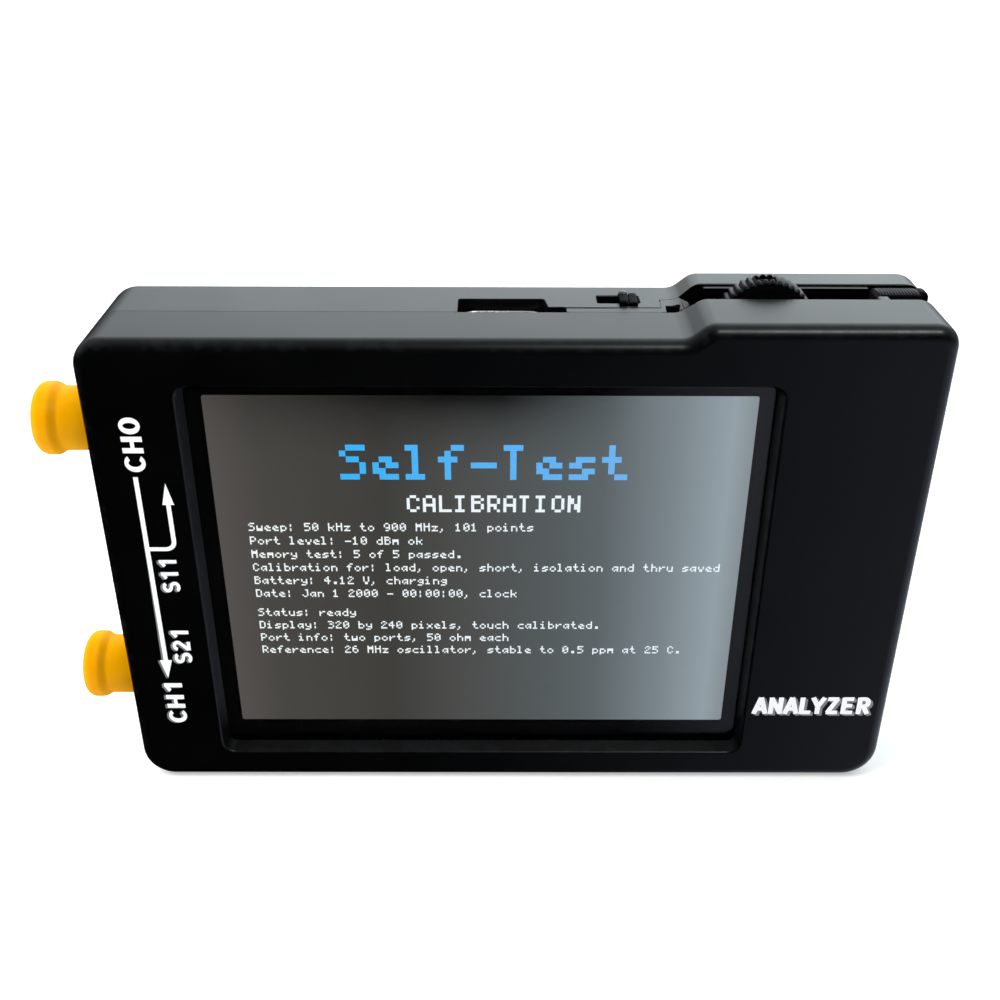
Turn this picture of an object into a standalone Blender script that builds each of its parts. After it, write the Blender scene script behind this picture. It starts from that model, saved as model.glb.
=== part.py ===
"""Handheld two-port vector network analyzer, as an assembly of separate pieces.

The case stands on its long bottom side. X runs to the right along the screen, Y runs from the screen to
the back, and Z runs up to the side with the USB socket, the power switch and the jog wheel. The origin is
on the bottom face, below the middle of the case. Shapes are worked out in millimetres and stored in metres.
"""

import math

import bmesh
import bpy
from mathutils import Matrix, Vector

MM = 0.001
GAP = 0.3

# Case
CASE_WIDTH = 91.5
CASE_HEIGHT = 58.5
RAISED_HEIGHT = 60.2
RAMP_START_X = 17.9
RAMP_END_X = 20.0
RAMP_RADIUS = 2.2
FRONT_FILLET = 1.5
BACK_FILLET = 1.2
SIDE_WALL = 1.8
FACE_WALL = 1.6
SEAM_Y = 0.75
LAP_HEIGHT = 0.9
LAP_WALL = 0.9
FRONT_Y = -8.0
BACK_Y = 9.6
HALF_WIDTH = CASE_WIDTH / 2

# Display
SCREEN_X = -3.76
SCREEN_Z = 29.3
MODULE_SIZE = (69.2, 50.0)
WINDOW_LOW = (-35.5, 4.05)
WINDOW_HIGH = (28.4, 53.6)
WINDOW_DRAFT = 0.6
TOUCH_Y = (-6.1, -5.4)
PANEL_Y = (-5.1, -3.9)
TRAY_Y = (-3.6, -2.1)

# Board
BOARD_LOW = Vector((-42.15, -0.5, 2.2))
BOARD_HIGH = Vector((42.75, 1.1, 56.0))
BOARD_MID_Y = (BOARD_LOW.y + BOARD_HIGH.y) / 2
CHIP_Y = BOARD_HIGH.y + 0.15

# Fasteners: four screws from the back into bosses at the corners
SCREW_SPOTS = ((-40.9, 4.8), (-40.9, 53.6), (40.9, 4.8), (40.9, 54.4))
BOSS_RADIUS = 2.4
BOSS_JOINT_Y = 2.45
SCREW_RADIUS = 0.95
SCREW_HEAD_RADIUS = 1.75
HEAD_SEAT_Y = 7.1

# RF ports
PORT_HEIGHTS = (45.95, 11.5)
BARREL_RADIUS = 3.1
BARREL_END_X = -52.0
FLANGE_X = (-43.65, -42.45)
CAP_RADIUS = 3.65
CAP_BORE = 3.3
CAP_LIP_RADIUS = 4.15
CAP_END_X = -53.1

# Top-side controls
WHEEL_AXIS = Vector((27.5, 2.9, 56.2))
WHEEL_RADIUS = 5.6
WHEEL_WIDTH = 2.6
WHEEL_TEETH = 44
WHEEL_HUB_HOLE = 1.3
AXLE_RADIUS = 1.0
SWITCH_LEVER_X = (11.6, 13.65)
WHEEL_SLOT_Y = (0.25, 5.1)


# ---------------------------------------------------------------- helpers


def clear_scene():
    for obj in list(bpy.data.objects):
        bpy.data.objects.remove(obj, do_unlink=True)


def surface(name, colour, roughness, metallic=0.0):
    """A plain Principled material."""
    made = bpy.data.materials.new(name)
    made.use_nodes = True
    shader = made.node_tree.nodes["Principled BSDF"]
    shader.inputs["Base Color"].default_value = (*colour, 1.0)
    shader.inputs["Roughness"].default_value = roughness
    shader.inputs["Metallic"].default_value = metallic
    return made


def finish(name, bm, look=None, origin=(0, 0, 0)):
    """Stores millimetre geometry as an object in metres, with its origin at the given point."""
    bmesh.ops.recalc_face_normals(bm, faces=bm.faces)
    bmesh.ops.translate(bm, verts=bm.verts, vec=-Vector(origin))
    bmesh.ops.scale(bm, verts=bm.verts, vec=(MM, MM, MM))
    mesh = bpy.data.meshes.new(name)
    bm.to_mesh(mesh)
    bm.free()
    mesh.shade_smooth()
    mesh.set_sharp_from_angle(angle=math.radians(40))
    if look:
        mesh.materials.append(look)
    obj = bpy.data.objects.new(name, mesh)
    obj.location = Vector(origin) * MM
    bpy.context.collection.objects.link(obj)
    return obj


def loft(bm, rings, closed=False):
    """Skins rings of equal length, and caps both ends unless the last ring joins the first."""
    loops = []
    for ring in rings:
        loops.append([bm.verts.new(point) for point in ring])
    pairs = list(zip(loops, loops[1:]))
    if closed:
        pairs.append((loops[-1], loops[0]))
    for first, second in pairs:
        for i in range(len(first)):
            j = (i + 1) % len(first)
            bm.faces.new((first[i], first[j], second[j], second[i]))
    if not closed:
        bm.faces.new(loops[0])
        bm.faces.new(loops[-1])


def add_block(bm, low, high, edge=0.0):
    """A box between two corners, with its edges cut back at 45 degrees."""
    low = Vector(low)
    high = Vector(high)
    size = high - low
    place = Matrix.Translation((low + high) / 2) @ Matrix.Diagonal((*size, 1.0))
    made = bmesh.ops.create_cube(bm, size=1.0, matrix=place)
    if edge:
        edges = {e for v in made["verts"] for e in v.link_edges}
        bmesh.ops.bevel(bm, geom=list(edges), offset=edge, segments=1, affect="EDGES")


def block(name, low, high, look=None, edge=0.0):
    bm = bmesh.new()
    add_block(bm, low, high, edge)
    middle = (Vector(low) + Vector(high)) / 2
    return finish(name, bm, look, middle)


def circle(axis, centre, along, radius, steps):
    """Points of a circle round a line that is parallel to an axis."""
    points = []
    for k in range(steps):
        turn = 2 * math.pi * k / steps
        u = radius * math.cos(turn)
        v = radius * math.sin(turn)
        if axis == "X":
            points.append((along, centre[1] + u, centre[2] + v))
        elif axis == "Y":
            points.append((centre[0] + u, along, centre[2] + v))
        else:
            points.append((centre[0] + u, centre[1] + v, along))
    return points


def add_turned(bm, axis, centre, profile, steps=24, closed=False):
    """A turned shape: profile holds (place along the axis, radius) pairs."""
    rings = [circle(axis, centre, along, radius, steps) for along, radius in profile]
    loft(bm, rings, closed)


def turned(name, axis, centre, profile, look=None, steps=24, closed=False):
    bm = bmesh.new()
    add_turned(bm, axis, centre, profile, steps, closed)
    return finish(name, bm, look, centre)


def rounded_outline(corners, inset=0.0, steps=5):
    """Points round an outline of (x, z, radius) corners, anticlockwise from the front, moved inwards."""
    points = []
    count = len(corners)
    for i in range(count):
        here = Vector(corners[i][:2])
        before = Vector(corners[i - 1][:2])
        after = Vector(corners[(i + 1) % count][:2])
        way_in = (here - before).normalized()
        way_out = (after - here).normalized()
        inward_in = Vector((-way_in.y, way_in.x))
        inward_out = Vector((-way_out.y, way_out.x))
        here = here + inset * (inward_in + inward_out) / (1 + inward_in.dot(inward_out))
        side = 1 if way_in.cross(way_out) > 0 else -1
        radius = max(corners[i][2] - side * inset, 0.25)
        turn = math.acos(max(-1.0, min(1.0, way_in.dot(way_out))))
        start = here - way_in * radius * math.tan(turn / 2)
        centre = start + side * radius * inward_in
        for k in range(steps + 1):
            angle = side * turn * k / steps
            spoke = (start - centre).copy()
            spoke.rotate(Matrix.Rotation(angle, 2))
            points.append(centre + spoke)
    return points


def outline_ring(corners, inset, y, steps=5):
    return [(p.x, y, p.y) for p in rounded_outline(corners, inset, steps)]


def modify(target, tool, operation):
    tool.hide_render = True
    tool.display_type = "WIRE"
    modifier = target.modifiers.new(tool.name, "BOOLEAN")
    modifier.operation = operation
    modifier.object = tool


def cut(target, *tools):
    for tool in tools:
        modify(target, tool, "DIFFERENCE")


def weld(target, *tools):
    for tool in tools:
        modify(target, tool, "UNION")


def joint_empty(name, place):
    """An empty on a joint's axis, which carries the pieces that move with it."""
    empty = bpy.data.objects.new(name, None)
    empty.empty_display_size = 0.004
    empty.location = Vector(place) * MM
    bpy.context.collection.objects.link(empty)
    return empty


def carry(parent, *children):
    bpy.context.view_layer.update()
    for child in children:
        child.parent = parent
        child.matrix_parent_inverse = parent.matrix_world.inverted()


# ---------------------------------------------------------------- materials

clear_scene()

ABS = surface("black_abs", (0.012, 0.012, 0.014), 0.42)
BLACK_GLOSS = surface("switch_plastic", (0.010, 0.010, 0.011), 0.35)
GLASS = surface("touch_glass", (0.05, 0.055, 0.06), 0.12)
DISPLAY = surface("display", (0.09, 0.10, 0.11), 0.25)
STEEL = surface("bright_steel", (0.62, 0.62, 0.60), 0.28, 1.0)
TIN = surface("tin_plate", (0.66, 0.66, 0.64), 0.38, 1.0)
GOLD = surface("gold_plate", (0.86, 0.62, 0.24), 0.25, 1.0)
BRASS = surface("axle_metal", (0.60, 0.58, 0.52), 0.3, 1.0)
PTFE = surface("white_dielectric", (0.85, 0.85, 0.83), 0.5)
YELLOW = surface("yellow_vinyl", (0.95, 0.52, 0.01), 0.45)
SOLDER_MASK = surface("board_mask", (0.01, 0.012, 0.03), 0.4)
CHIP = surface("chip_epoxy", (0.02, 0.02, 0.022), 0.5)
POLYIMIDE = surface("flex_polyimide", (0.45, 0.20, 0.04), 0.35)
FOAM = surface("black_foam", (0.02, 0.02, 0.02), 0.9)
POUCH = surface("battery_pouch", (0.55, 0.56, 0.58), 0.35, 0.6)
TAPE = surface("white_tape", (0.75, 0.74, 0.70), 0.8)
NYLON = surface("connector_nylon", (0.82, 0.79, 0.70), 0.5)
WIRE_RED = surface("red_wire", (0.60, 0.02, 0.02), 0.5)
WIRE_BLACK = surface("black_wire", (0.02, 0.02, 0.02), 0.5)
LED = surface("led_lens", (0.80, 0.82, 0.75), 0.2)

# ---------------------------------------------------------------- case

CASE_CORNERS = (
    (-HALF_WIDTH, 0.0, 3.8),
    (HALF_WIDTH, 0.0, 4.2),
    (HALF_WIDTH, RAISED_HEIGHT, 2.5),
    (RAMP_END_X, RAISED_HEIGHT, RAMP_RADIUS),
    (RAMP_START_X, CASE_HEIGHT, RAMP_RADIUS),
    (-HALF_WIDTH, CASE_HEIGHT, 3.2),
)
FILLET_STEPS = 5


def case_half(name, face, fillet, rim, lap_inset):
    """A tray in the case's outline: rounded at its face, open at its rim, which steps for the lap joint."""
    way = 1 if rim > face else -1
    rings = []
    for k in range(FILLET_STEPS + 1):
        turn = math.pi / 2 * k / FILLET_STEPS
        inset = fillet * (1 - math.sin(turn))
        y = face + way * fillet * (1 - math.cos(turn))
        rings.append(outline_ring(CASE_CORNERS, inset, y))
    rings.append(outline_ring(CASE_CORNERS, 0.0, rim))
    rings.append(outline_ring(CASE_CORNERS, lap_inset, rim))
    rings.append(outline_ring(CASE_CORNERS, lap_inset, rim + LAP_HEIGHT))
    rings.append(outline_ring(CASE_CORNERS, SIDE_WALL, rim + LAP_HEIGHT))
    rings.append(outline_ring(CASE_CORNERS, SIDE_WALL, face + way * FACE_WALL))
    bm = bmesh.new()
    loft(bm, rings)
    return finish(name, bm, ABS)


def posts(name, profile, steps=20):
    """The same turned post at each of the four screw spots, along Y."""
    bm = bmesh.new()
    for x, z in SCREW_SPOTS:
        add_turned(bm, "Y", (x, 0, z), profile, steps)
    return finish(name, bm)


def port_drills(name):
    """Round holes in the left wall for the two RF ports."""
    bm = bmesh.new()
    for z in PORT_HEIGHTS:
        profile = ((-HALF_WIDTH - 2, BARREL_RADIUS + GAP), (-HALF_WIDTH + 2.4, BARREL_RADIUS + GAP))
        add_turned(bm, "X", (0, BOARD_MID_Y, z), profile, 32)
    return finish(name, bm)


def window_cutter():
    """The screen window: its walls slope in towards the screen."""
    corners = (
        (*WINDOW_LOW, 1.6),
        (WINDOW_HIGH[0], WINDOW_LOW[1], 1.6),
        (*WINDOW_HIGH, 1.6),
        (WINDOW_LOW[0], WINDOW_HIGH[1], 1.6),
    )
    slope = WINDOW_DRAFT / FACE_WALL
    rings = []
    for y in (FRONT_Y - 0.5, FRONT_Y + FACE_WALL + 0.5):
        rings.append(outline_ring(corners, slope * (y - FRONT_Y), y))
    bm = bmesh.new()
    loft(bm, rings)
    return finish("window_cutter", bm)


def build_front_shell():
    rim = SEAM_Y - GAP / 2
    shell = case_half("front_shell", FRONT_Y, FRONT_FILLET, rim, SIDE_WALL - LAP_WALL)
    over = RAISED_HEIGHT + 2
    below_rim = rim - 0.1
    cut(
        shell,
        block("socket_lip_cutter", (-6.5, below_rim, 55.0), (6.0, 3.0, over)),
        block("ramp_lip_cutter", (16.0, below_rim, 51.5), (20.0, 3.0, over)),
        block("wheel_lip_cutter", (19.5, WHEEL_SLOT_Y[0], 51.5), (HALF_WIDTH + 2, 3.0, over)),
    )
    inner_face = FRONT_Y + FACE_WALL
    boss_profile = ((inner_face - 0.8, BOSS_RADIUS), (BOSS_JOINT_Y - GAP / 2, BOSS_RADIUS))
    weld(shell, posts("front_boss_posts", boss_profile))
    weld(shell, block("strap_lug", (39.1, -2.0, 57.0), (41.8, 1.6, RAISED_HEIGHT - 0.1)))
    pilot = ((inner_face + 1.2, SCREW_RADIUS + 0.2), (BOSS_JOINT_Y + 1, SCREW_RADIUS + 0.2))
    cut(shell, window_cutter(), port_drills("front_port_drills"), posts("pilot_holes", pilot, 16))
    return shell


def build_back_shell():
    outer_lap = SIDE_WALL - LAP_WALL - GAP
    shell = case_half("back_shell", BACK_Y, BACK_FILLET, SEAM_Y + GAP / 2, outer_lap)
    over = RAISED_HEIGHT + 2
    cut(
        shell,
        block("usb_cutter", (-6.1, -1, 55.0), (3.5, 4.8, over)),
        block("step_cutter", (3.3, -1, 57.5), (5.6, 2.2, over)),
        block("switch_slot_cutter", (9.25, 3.5, 55.0), (13.9, 5.9, over)),
        block("groove_cutter", (5.2, 1.9, 58.0), (16.1, 2.2, over)),
        block("ramp_foot_cutter", (16.4, -1, 57.3), (18.1, 2.7, over)),
        block("wheel_slot_cutter", (18.7, -1, 52.0), (HALF_WIDTH + 2, WHEEL_SLOT_Y[1], over)),
        port_drills("back_port_drills"),
    )
    inner_face = BACK_Y - FACE_WALL
    boss_profile = ((BOSS_JOINT_Y + GAP / 2, BOSS_RADIUS), (inner_face + 0.8, BOSS_RADIUS))
    weld(shell, posts("back_boss_posts", boss_profile))
    strap_top = RAISED_HEIGHT - 0.2
    weld(shell, block("strap_rib", (39.3, 2.7, 56.2), (44.6, inner_face + 0.5, strap_top - 0.3)))
    weld(shell, block("strap_corner", (43.5, 2.7, 56.2), (45.4, WHEEL_SLOT_Y[1] + 0.2, strap_top), edge=0.6))
    clearance = ((BOSS_JOINT_Y - 1, SCREW_RADIUS + 0.3), (BACK_Y + 1, SCREW_RADIUS + 0.3))
    counterbore = ((HEAD_SEAT_Y, SCREW_HEAD_RADIUS + 0.3), (BACK_Y + 1, SCREW_HEAD_RADIUS + 0.3))
    cut(shell, posts("screw_holes", clearance, 16), posts("screw_counterbores", counterbore, 20))
    return shell


def build_screws():
    """Pan-head screws with a cross recess."""
    head_top = HEAD_SEAT_Y + 1.6
    for i, (x, z) in enumerate(SCREW_SPOTS):
        profile = (
            (HEAD_SEAT_Y - 9.1, 0.3),
            (HEAD_SEAT_Y - 8.4, SCREW_RADIUS),
            (HEAD_SEAT_Y + GAP, SCREW_RADIUS),
            (HEAD_SEAT_Y + GAP, SCREW_HEAD_RADIUS),
            (head_top - 0.5, SCREW_HEAD_RADIUS),
            (head_top, SCREW_HEAD_RADIUS - 0.6),
        )
        screw = turned(f"case_screw_{i}", "Y", (x, 0, z), profile, STEEL, steps=16)
        slots = []
        for turn, size in enumerate(((0.9, 0.22), (0.22, 0.9))):
            low = (x - size[0], head_top - 0.7, z - size[1])
            high = (x + size[0], head_top + 1, z + size[1])
            slots.append(block(f"cross_recess_{i}_{turn}", low, high))
        cut(screw, *slots)


# ---------------------------------------------------------------- display


def build_display():
    half_x = MODULE_SIZE[0] / 2
    half_z = MODULE_SIZE[1] / 2

    def layer(name, y_range, margin, look, edge=0.0):
        low = (SCREEN_X - half_x + margin, y_range[0], SCREEN_Z - half_z + margin)
        high = (SCREEN_X + half_x - margin, y_range[1], SCREEN_Z + half_z - margin)
        return block(name, low, high, look, edge)

    layer("touch_panel", TOUCH_Y, 0.2, GLASS)
    layer("lcd_panel", PANEL_Y, 0.5, DISPLAY)
    layer("lcd_frame", TRAY_Y, 0.0, STEEL, edge=0.25)
    pad_y = (TRAY_Y[1] + 0.2, BOARD_LOW.y - 0.2)
    for i, z in enumerate((SCREEN_Z - 20.0, SCREEN_Z + 20.0)):
        low = (SCREEN_X - 25, pad_y[0], z - 2)
        high = (SCREEN_X + 25, pad_y[1], z + 2)
        block(f"lcd_pad_{i}", low, high, FOAM)


def build_flex():
    """The ribbon leaves the panel's right edge, turns back and lands on the board's front."""
    thickness = 0.2
    inner_x = SCREEN_X + MODULE_SIZE[0] / 2 + 0.3
    bend_y = (PANEL_Y[1] + BOARD_LOW.y) / 2
    reach = abs(BOARD_LOW.y - 0.3 - PANEL_Y[1]) / 2
    path = [Vector((inner_x, bend_y - reach))]
    for k in range(9):
        turn = -math.pi / 2 + math.pi * k / 8
        spot = Vector((inner_x + 2 + reach * math.cos(turn), bend_y + reach * math.sin(turn)))
        path.append(spot)
    path.append(Vector((inner_x, bend_y + reach)))
    rings = []
    for i, point in enumerate(path):
        along = (path[min(i + 1, len(path) - 1)] - path[max(i - 1, 0)]).normalized()
        across = Vector((-along.y, along.x)) * thickness / 2
        ring = []
        for edge, z in ((across, -9), (across, 9), (-across, 9), (-across, -9)):
            ring.append((point.x + edge.x, point.y + edge.y, SCREEN_Z + z))
        rings.append(ring)
    bm = bmesh.new()
    loft(bm, rings)
    finish("lcd_flex", bm, POLYIMIDE)


# ---------------------------------------------------------------- board


def build_board():
    board = block("main_board", BOARD_LOW, BOARD_HIGH, SOLDER_MASK)
    notch = ((BOARD_LOW.y - 1, BOSS_RADIUS + GAP), (BOARD_HIGH.y + 1, BOSS_RADIUS + GAP))
    bm = bmesh.new()
    for z in PORT_HEIGHTS:
        add_block(bm, (BOARD_LOW.x - 1, BOARD_LOW.y - 1, z - 0.95), (-38.2, BOARD_HIGH.y + 1, z + 0.95))
    cut(board, posts("boss_notches", notch), finish("pin_slots", bm), board_corners())


def board_corners():
    """Blocks that open each round notch to the board's corner."""
    reach = BOSS_RADIUS + GAP
    bm = bmesh.new()
    for x, z in SCREW_SPOTS:
        side = math.copysign(1, x)
        end = 1 if z > SCREEN_Z else -1
        far_x = x + side * reach
        far_z = z + end * (reach + 1)
        low = (min(x, far_x), BOARD_LOW.y - 1, min(z, far_z))
        high = (max(x, far_x), BOARD_HIGH.y + 1, max(z, far_z))
        add_block(bm, low, high)
    return finish("board_corners", bm)


def chip(name, x, z, width, height, thickness, look=CHIP):
    """A moulded package on the back of the board, with its top edges cut back."""
    low = (x - width / 2, CHIP_Y, z - height / 2)
    high = (x + width / 2, CHIP_Y + thickness, z + height / 2)
    return block(name, low, high, look, edge=min(0.15, thickness / 4))


def build_chips():
    chip("mcu", -10.2, 46.5, 7.0, 7.0, 1.4)
    chip("clock_chip", -17.0, 47.5, 3.0, 3.0, 0.9)
    chip("codec_chip", -16.5, 40.5, 5.0, 5.0, 0.9)
    chip("crystal", -22.0, 47.5, 3.2, 2.5, 0.8, TIN)
    for i, z in enumerate((16.0, 25.5, 35.0)):
        chip(f"mixer_chip_{i}", -29.5, z, 3.9, 4.9, 1.3)
    chip("charger_chip", 5.0, 47.5, 2.9, 2.8, 1.0)
    chip("regulator_chip", 17.0, 46.0, 2.9, 2.8, 1.0)
    chip("charge_led", 5.2, 53.5, 1.6, 0.8, 0.6, LED)
    chip("power_led", 19.0, 53.5, 1.6, 0.8, 0.6, LED)


def shield_can(name, low, high):
    """A five-sided tin cover, open towards the board."""
    can = block(name, low, high, TIN, edge=0.25)
    wall = 0.3
    inner_low = (low[0] + wall, low[1] - 1, low[2] + wall)
    inner_high = (high[0] - wall, high[1] - wall, high[2] - wall)
    cut(can, block(f"{name}_hollow", inner_low, inner_high))


def build_cans():
    shield_can("shield_can_0", (-35.5, CHIP_Y, 11.5), (-23.5, 4.0, 39.5))
    shield_can("shield_can_1", (-22.5, CHIP_Y, 11.5), (-12.5, 3.4, 36.0))


def build_battery():
    block("battery_tape", (-5.0, 1.3, 13.0), (31.0, 1.7, 33.0), TAPE)
    block("battery", (-8.0, 2.0, 8.0), (34.0, 6.6, 38.0), POUCH, edge=0.8)
    socket = block("battery_socket", (8.0, CHIP_Y, 45.2), (14.0, 4.4, 48.7), NYLON)
    cut(socket, block("socket_mouth", (8.5, 1.8, 44.0), (13.5, 3.9, 47.9)))
    block("battery_plug", (8.8, 2.1, 42.6), (13.2, 3.6, 47.3), NYLON, edge=0.2)
    for name, x, side, look in (
        ("battery_lead_red", 10.1, -1, WIRE_RED),
        ("battery_lead_black", 11.9, 1, WIRE_BLACK),
    ):
        lead(name, x, side, look)


def lead(name, x, side, look):
    """An insulated wire from the cell's top edge to the plug."""
    curve = bpy.data.curves.new(name, "CURVE")
    curve.dimensions = "3D"
    curve.bevel_depth = 0.5 * MM
    curve.bevel_resolution = 1
    curve.use_fill_caps = True
    spline = curve.splines.new("POLY")
    count = 9
    spline.points.add(count - 1)
    for k in range(count):
        part = k / (count - 1)
        z = 38.4 + 3.9 * part
        bow = side * 0.4 * math.sin(math.pi * part)
        y = 4.0 - 1.15 * part
        spline.points[k].co = ((x + bow) * MM, y * MM, z * MM, 1.0)
    curve.materials.append(look)
    obj = bpy.data.objects.new(name, curve)
    bpy.context.collection.objects.link(obj)


# ---------------------------------------------------------------- RF ports


def build_port(i, z):
    """An edge-mounted threaded jack: flange, hollow barrel, dielectric and centre contact."""
    centre = (0, BOARD_MID_Y, z)
    half = 3.15
    body = block(
        f"sma_body_{i}",
        (FLANGE_X[0], BOARD_MID_Y - half, z - half),
        (FLANGE_X[1], BOARD_MID_Y + half, z + half),
        GOLD,
    )
    barrel = (
        (FLANGE_X[0] + 0.5, BARREL_RADIUS - 0.4),
        (FLANGE_X[0] - 1.2, BARREL_RADIUS - 0.4),
        (FLANGE_X[0] - 1.6, BARREL_RADIUS),
        (BARREL_END_X + 0.3, BARREL_RADIUS),
        (BARREL_END_X, BARREL_RADIUS - 0.3),
    )
    weld(body, turned(f"sma_barrel_{i}", "X", centre, barrel, steps=28))
    bm = bmesh.new()
    for y in (BOARD_LOW.y - 1.2, BOARD_HIGH.y + 0.3):
        for side in (-1, 1):
            leg_z = z + side * 2.6
            add_block(bm, (FLANGE_X[1] - 0.5, y, leg_z - 0.45), (-38.4, y + 0.9, leg_z + 0.45))
    weld(body, finish(f"sma_legs_{i}", bm))
    cut(body, turned(f"sma_bore_{i}", "X", centre, ((BARREL_END_X - 1, 2.3), (-41.0, 2.3)), steps=24))
    dielectric = ((BARREL_END_X + 1.9, 2.05), (-42.6, 2.05), (-42.6, 0.85), (BARREL_END_X + 1.9, 0.85))
    turned(f"sma_insulator_{i}", "X", centre, dielectric, PTFE, steps=20, closed=True)
    contact = (
        (-38.6, 0.6),
        (BARREL_END_X + 1.9, 0.6),
        (BARREL_END_X + 1.9, 0.45),
        (BARREL_END_X + 4.0, 0.45),
    )
    turned(f"sma_pin_{i}", "X", centre, contact, GOLD, steps=14)


def build_cap(i, z):
    """A push-on dust cap: a thin cup with a thick rounded lip round its closed end."""
    open_x = -HALF_WIDTH - GAP
    lip = 2.3
    rounding = 0.7
    profile = [(open_x, CAP_RADIUS), (CAP_END_X + lip + 0.25, CAP_RADIUS)]
    profile += [(CAP_END_X + lip, CAP_LIP_RADIUS - 0.25), (CAP_END_X + lip - 0.4, CAP_LIP_RADIUS)]
    for k in range(5):
        turn = math.pi / 2 * k / 4
        along = CAP_END_X + rounding * (1 - math.sin(turn))
        profile.append((along, CAP_LIP_RADIUS - rounding * (1 - math.cos(turn))))
    inner = [(BARREL_END_X - GAP, CAP_BORE), (open_x, CAP_BORE)]
    centre = (0, BOARD_MID_Y, z)
    rings = [circle("X", centre, along, radius, 28) for along, radius in inner + profile]
    bm = bmesh.new()
    loft(bm, rings)
    cap = finish(f"dust_cap_{i}", bm, YELLOW, (open_x, BOARD_MID_Y, z))
    carry(joint_empty(f"cap_pull_{i}", (open_x, BOARD_MID_Y, z)), cap)


# ---------------------------------------------------------------- top side


def stadium(x, y, half_width, half_height, z, steps=6):
    """A slot-shaped ring in a level plane."""
    points = []
    for end in (1, -1):
        for k in range(steps + 1):
            turn = -math.pi / 2 + math.pi * k / steps
            across = half_width - half_height
            dx = end * (across + half_height * math.cos(turn))
            dy = end * half_height * math.sin(turn)
            points.append((x + dx, y + dy, z))
    return points


def build_usb():
    centre_x = -1.2
    centre_y = 2.95
    mouth = 57.25
    rings = [
        stadium(centre_x, centre_y, 4.47, 1.6, mouth - 7.3),
        stadium(centre_x, centre_y, 4.47, 1.6, mouth),
        stadium(centre_x, centre_y, 4.17, 1.3, mouth),
        stadium(centre_x, centre_y, 4.17, 1.3, mouth - 6.8),
    ]
    bm = bmesh.new()
    loft(bm, rings)
    finish("usb_shell", bm, STEEL)
    block(
        "usb_tongue",
        (centre_x - 3.3, centre_y - 0.35, mouth - 6.5),
        (centre_x + 3.3, centre_y + 0.35, mouth - 0.9),
        BLACK_GLOSS,
        edge=0.12,
    )


def build_power_switch():
    body = block("power_switch_body", (7.2, 1.4, 52.4), (15.9, 6.1, 56.4), STEEL, edge=0.2)
    cut(body, block("lever_window", (8.8, 3.6, 54.2), (14.3, 5.8, 57.5)))
    low_x, high_x = SWITCH_LEVER_X
    stem_low = Vector((low_x + 0.2, 3.9, 54.6))
    stem_high = Vector((high_x - 0.2, 5.2, 59.1))
    top = Vector((low_x, 3.0, CASE_HEIGHT + GAP))
    lever = block("power_switch_lever", stem_low, stem_high, BLACK_GLOSS)
    weld(lever, block("lever_nub", top, (high_x, 5.5, CASE_HEIGHT + 0.95), edge=0.2))
    carry(joint_empty("power_slide", (top + stem_high) / 2), lever)


def toothed_ring(y, root, tip):
    """The wheel's knurled outline: a flat-topped tooth at each step."""
    points = []
    for tooth in range(WHEEL_TEETH):
        for part, radius in ((0.0, root), (0.25, tip), (0.55, tip), (0.8, root)):
            turn = 2 * math.pi * (tooth + part) / WHEEL_TEETH
            points.append((
                WHEEL_AXIS.x + radius * math.cos(turn),
                y,
                WHEEL_AXIS.z + radius * math.sin(turn),
            ))
    return points


def build_thumbwheel():
    front = WHEEL_AXIS.y - WHEEL_WIDTH / 2
    back = WHEEL_AXIS.y + WHEEL_WIDTH / 2
    root = WHEEL_RADIUS - 0.35
    rings = [
        toothed_ring(front, root - 0.15, root - 0.1),
        toothed_ring(front + 0.25, root, WHEEL_RADIUS),
        toothed_ring(back - 0.25, root, WHEEL_RADIUS),
        toothed_ring(back, root - 0.15, root - 0.1),
    ]
    bm = bmesh.new()
    loft(bm, rings)
    wheel = finish("thumbwheel", bm, BLACK_GLOSS, WHEEL_AXIS)
    top = WHEEL_AXIS.z + WHEEL_RADIUS
    mark_low = WHEEL_AXIS + Vector((-1.3, -0.75, WHEEL_RADIUS - 0.6))
    mark_high = (WHEEL_AXIS.x + 0.8, WHEEL_AXIS.y + 0.75, top + 1)
    cut(
        wheel,
        turned("hub_bore", "Y", WHEEL_AXIS, ((front - 1, WHEEL_HUB_HOLE), (back + 1, WHEEL_HUB_HOLE))),
        turned("spring_recess", "Y", WHEEL_AXIS, ((back - 0.9, 3.6), (back + 1, 3.6))),
        block("index_notch", mark_low, mark_high),
    )
    return wheel


def build_wheel_carrier():
    x = WHEEL_AXIS.x
    carrier = block("wheel_carrier", (x - 1.3, 2.4, 46.4), (x + 1.3, 5.0, 50.1), BLACK_GLOSS)
    weld(carrier, block("carrier_arm", (x - 1.5, 4.5, 48.8), (x + 1.5, 5.2, 57.9)))
    hole = ((4.0, AXLE_RADIUS + 0.15), (6.0, AXLE_RADIUS + 0.15))
    cut(carrier, turned("axle_hole", "Y", WHEEL_AXIS, hole, steps=18))
    axle_profile = ((1.75, AXLE_RADIUS - 0.15), (1.9, AXLE_RADIUS), (5.2, AXLE_RADIUS))
    axle = turned("wheel_axle", "Y", WHEEL_AXIS, axle_profile, BRASS, steps=18)
    return carrier, axle


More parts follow.
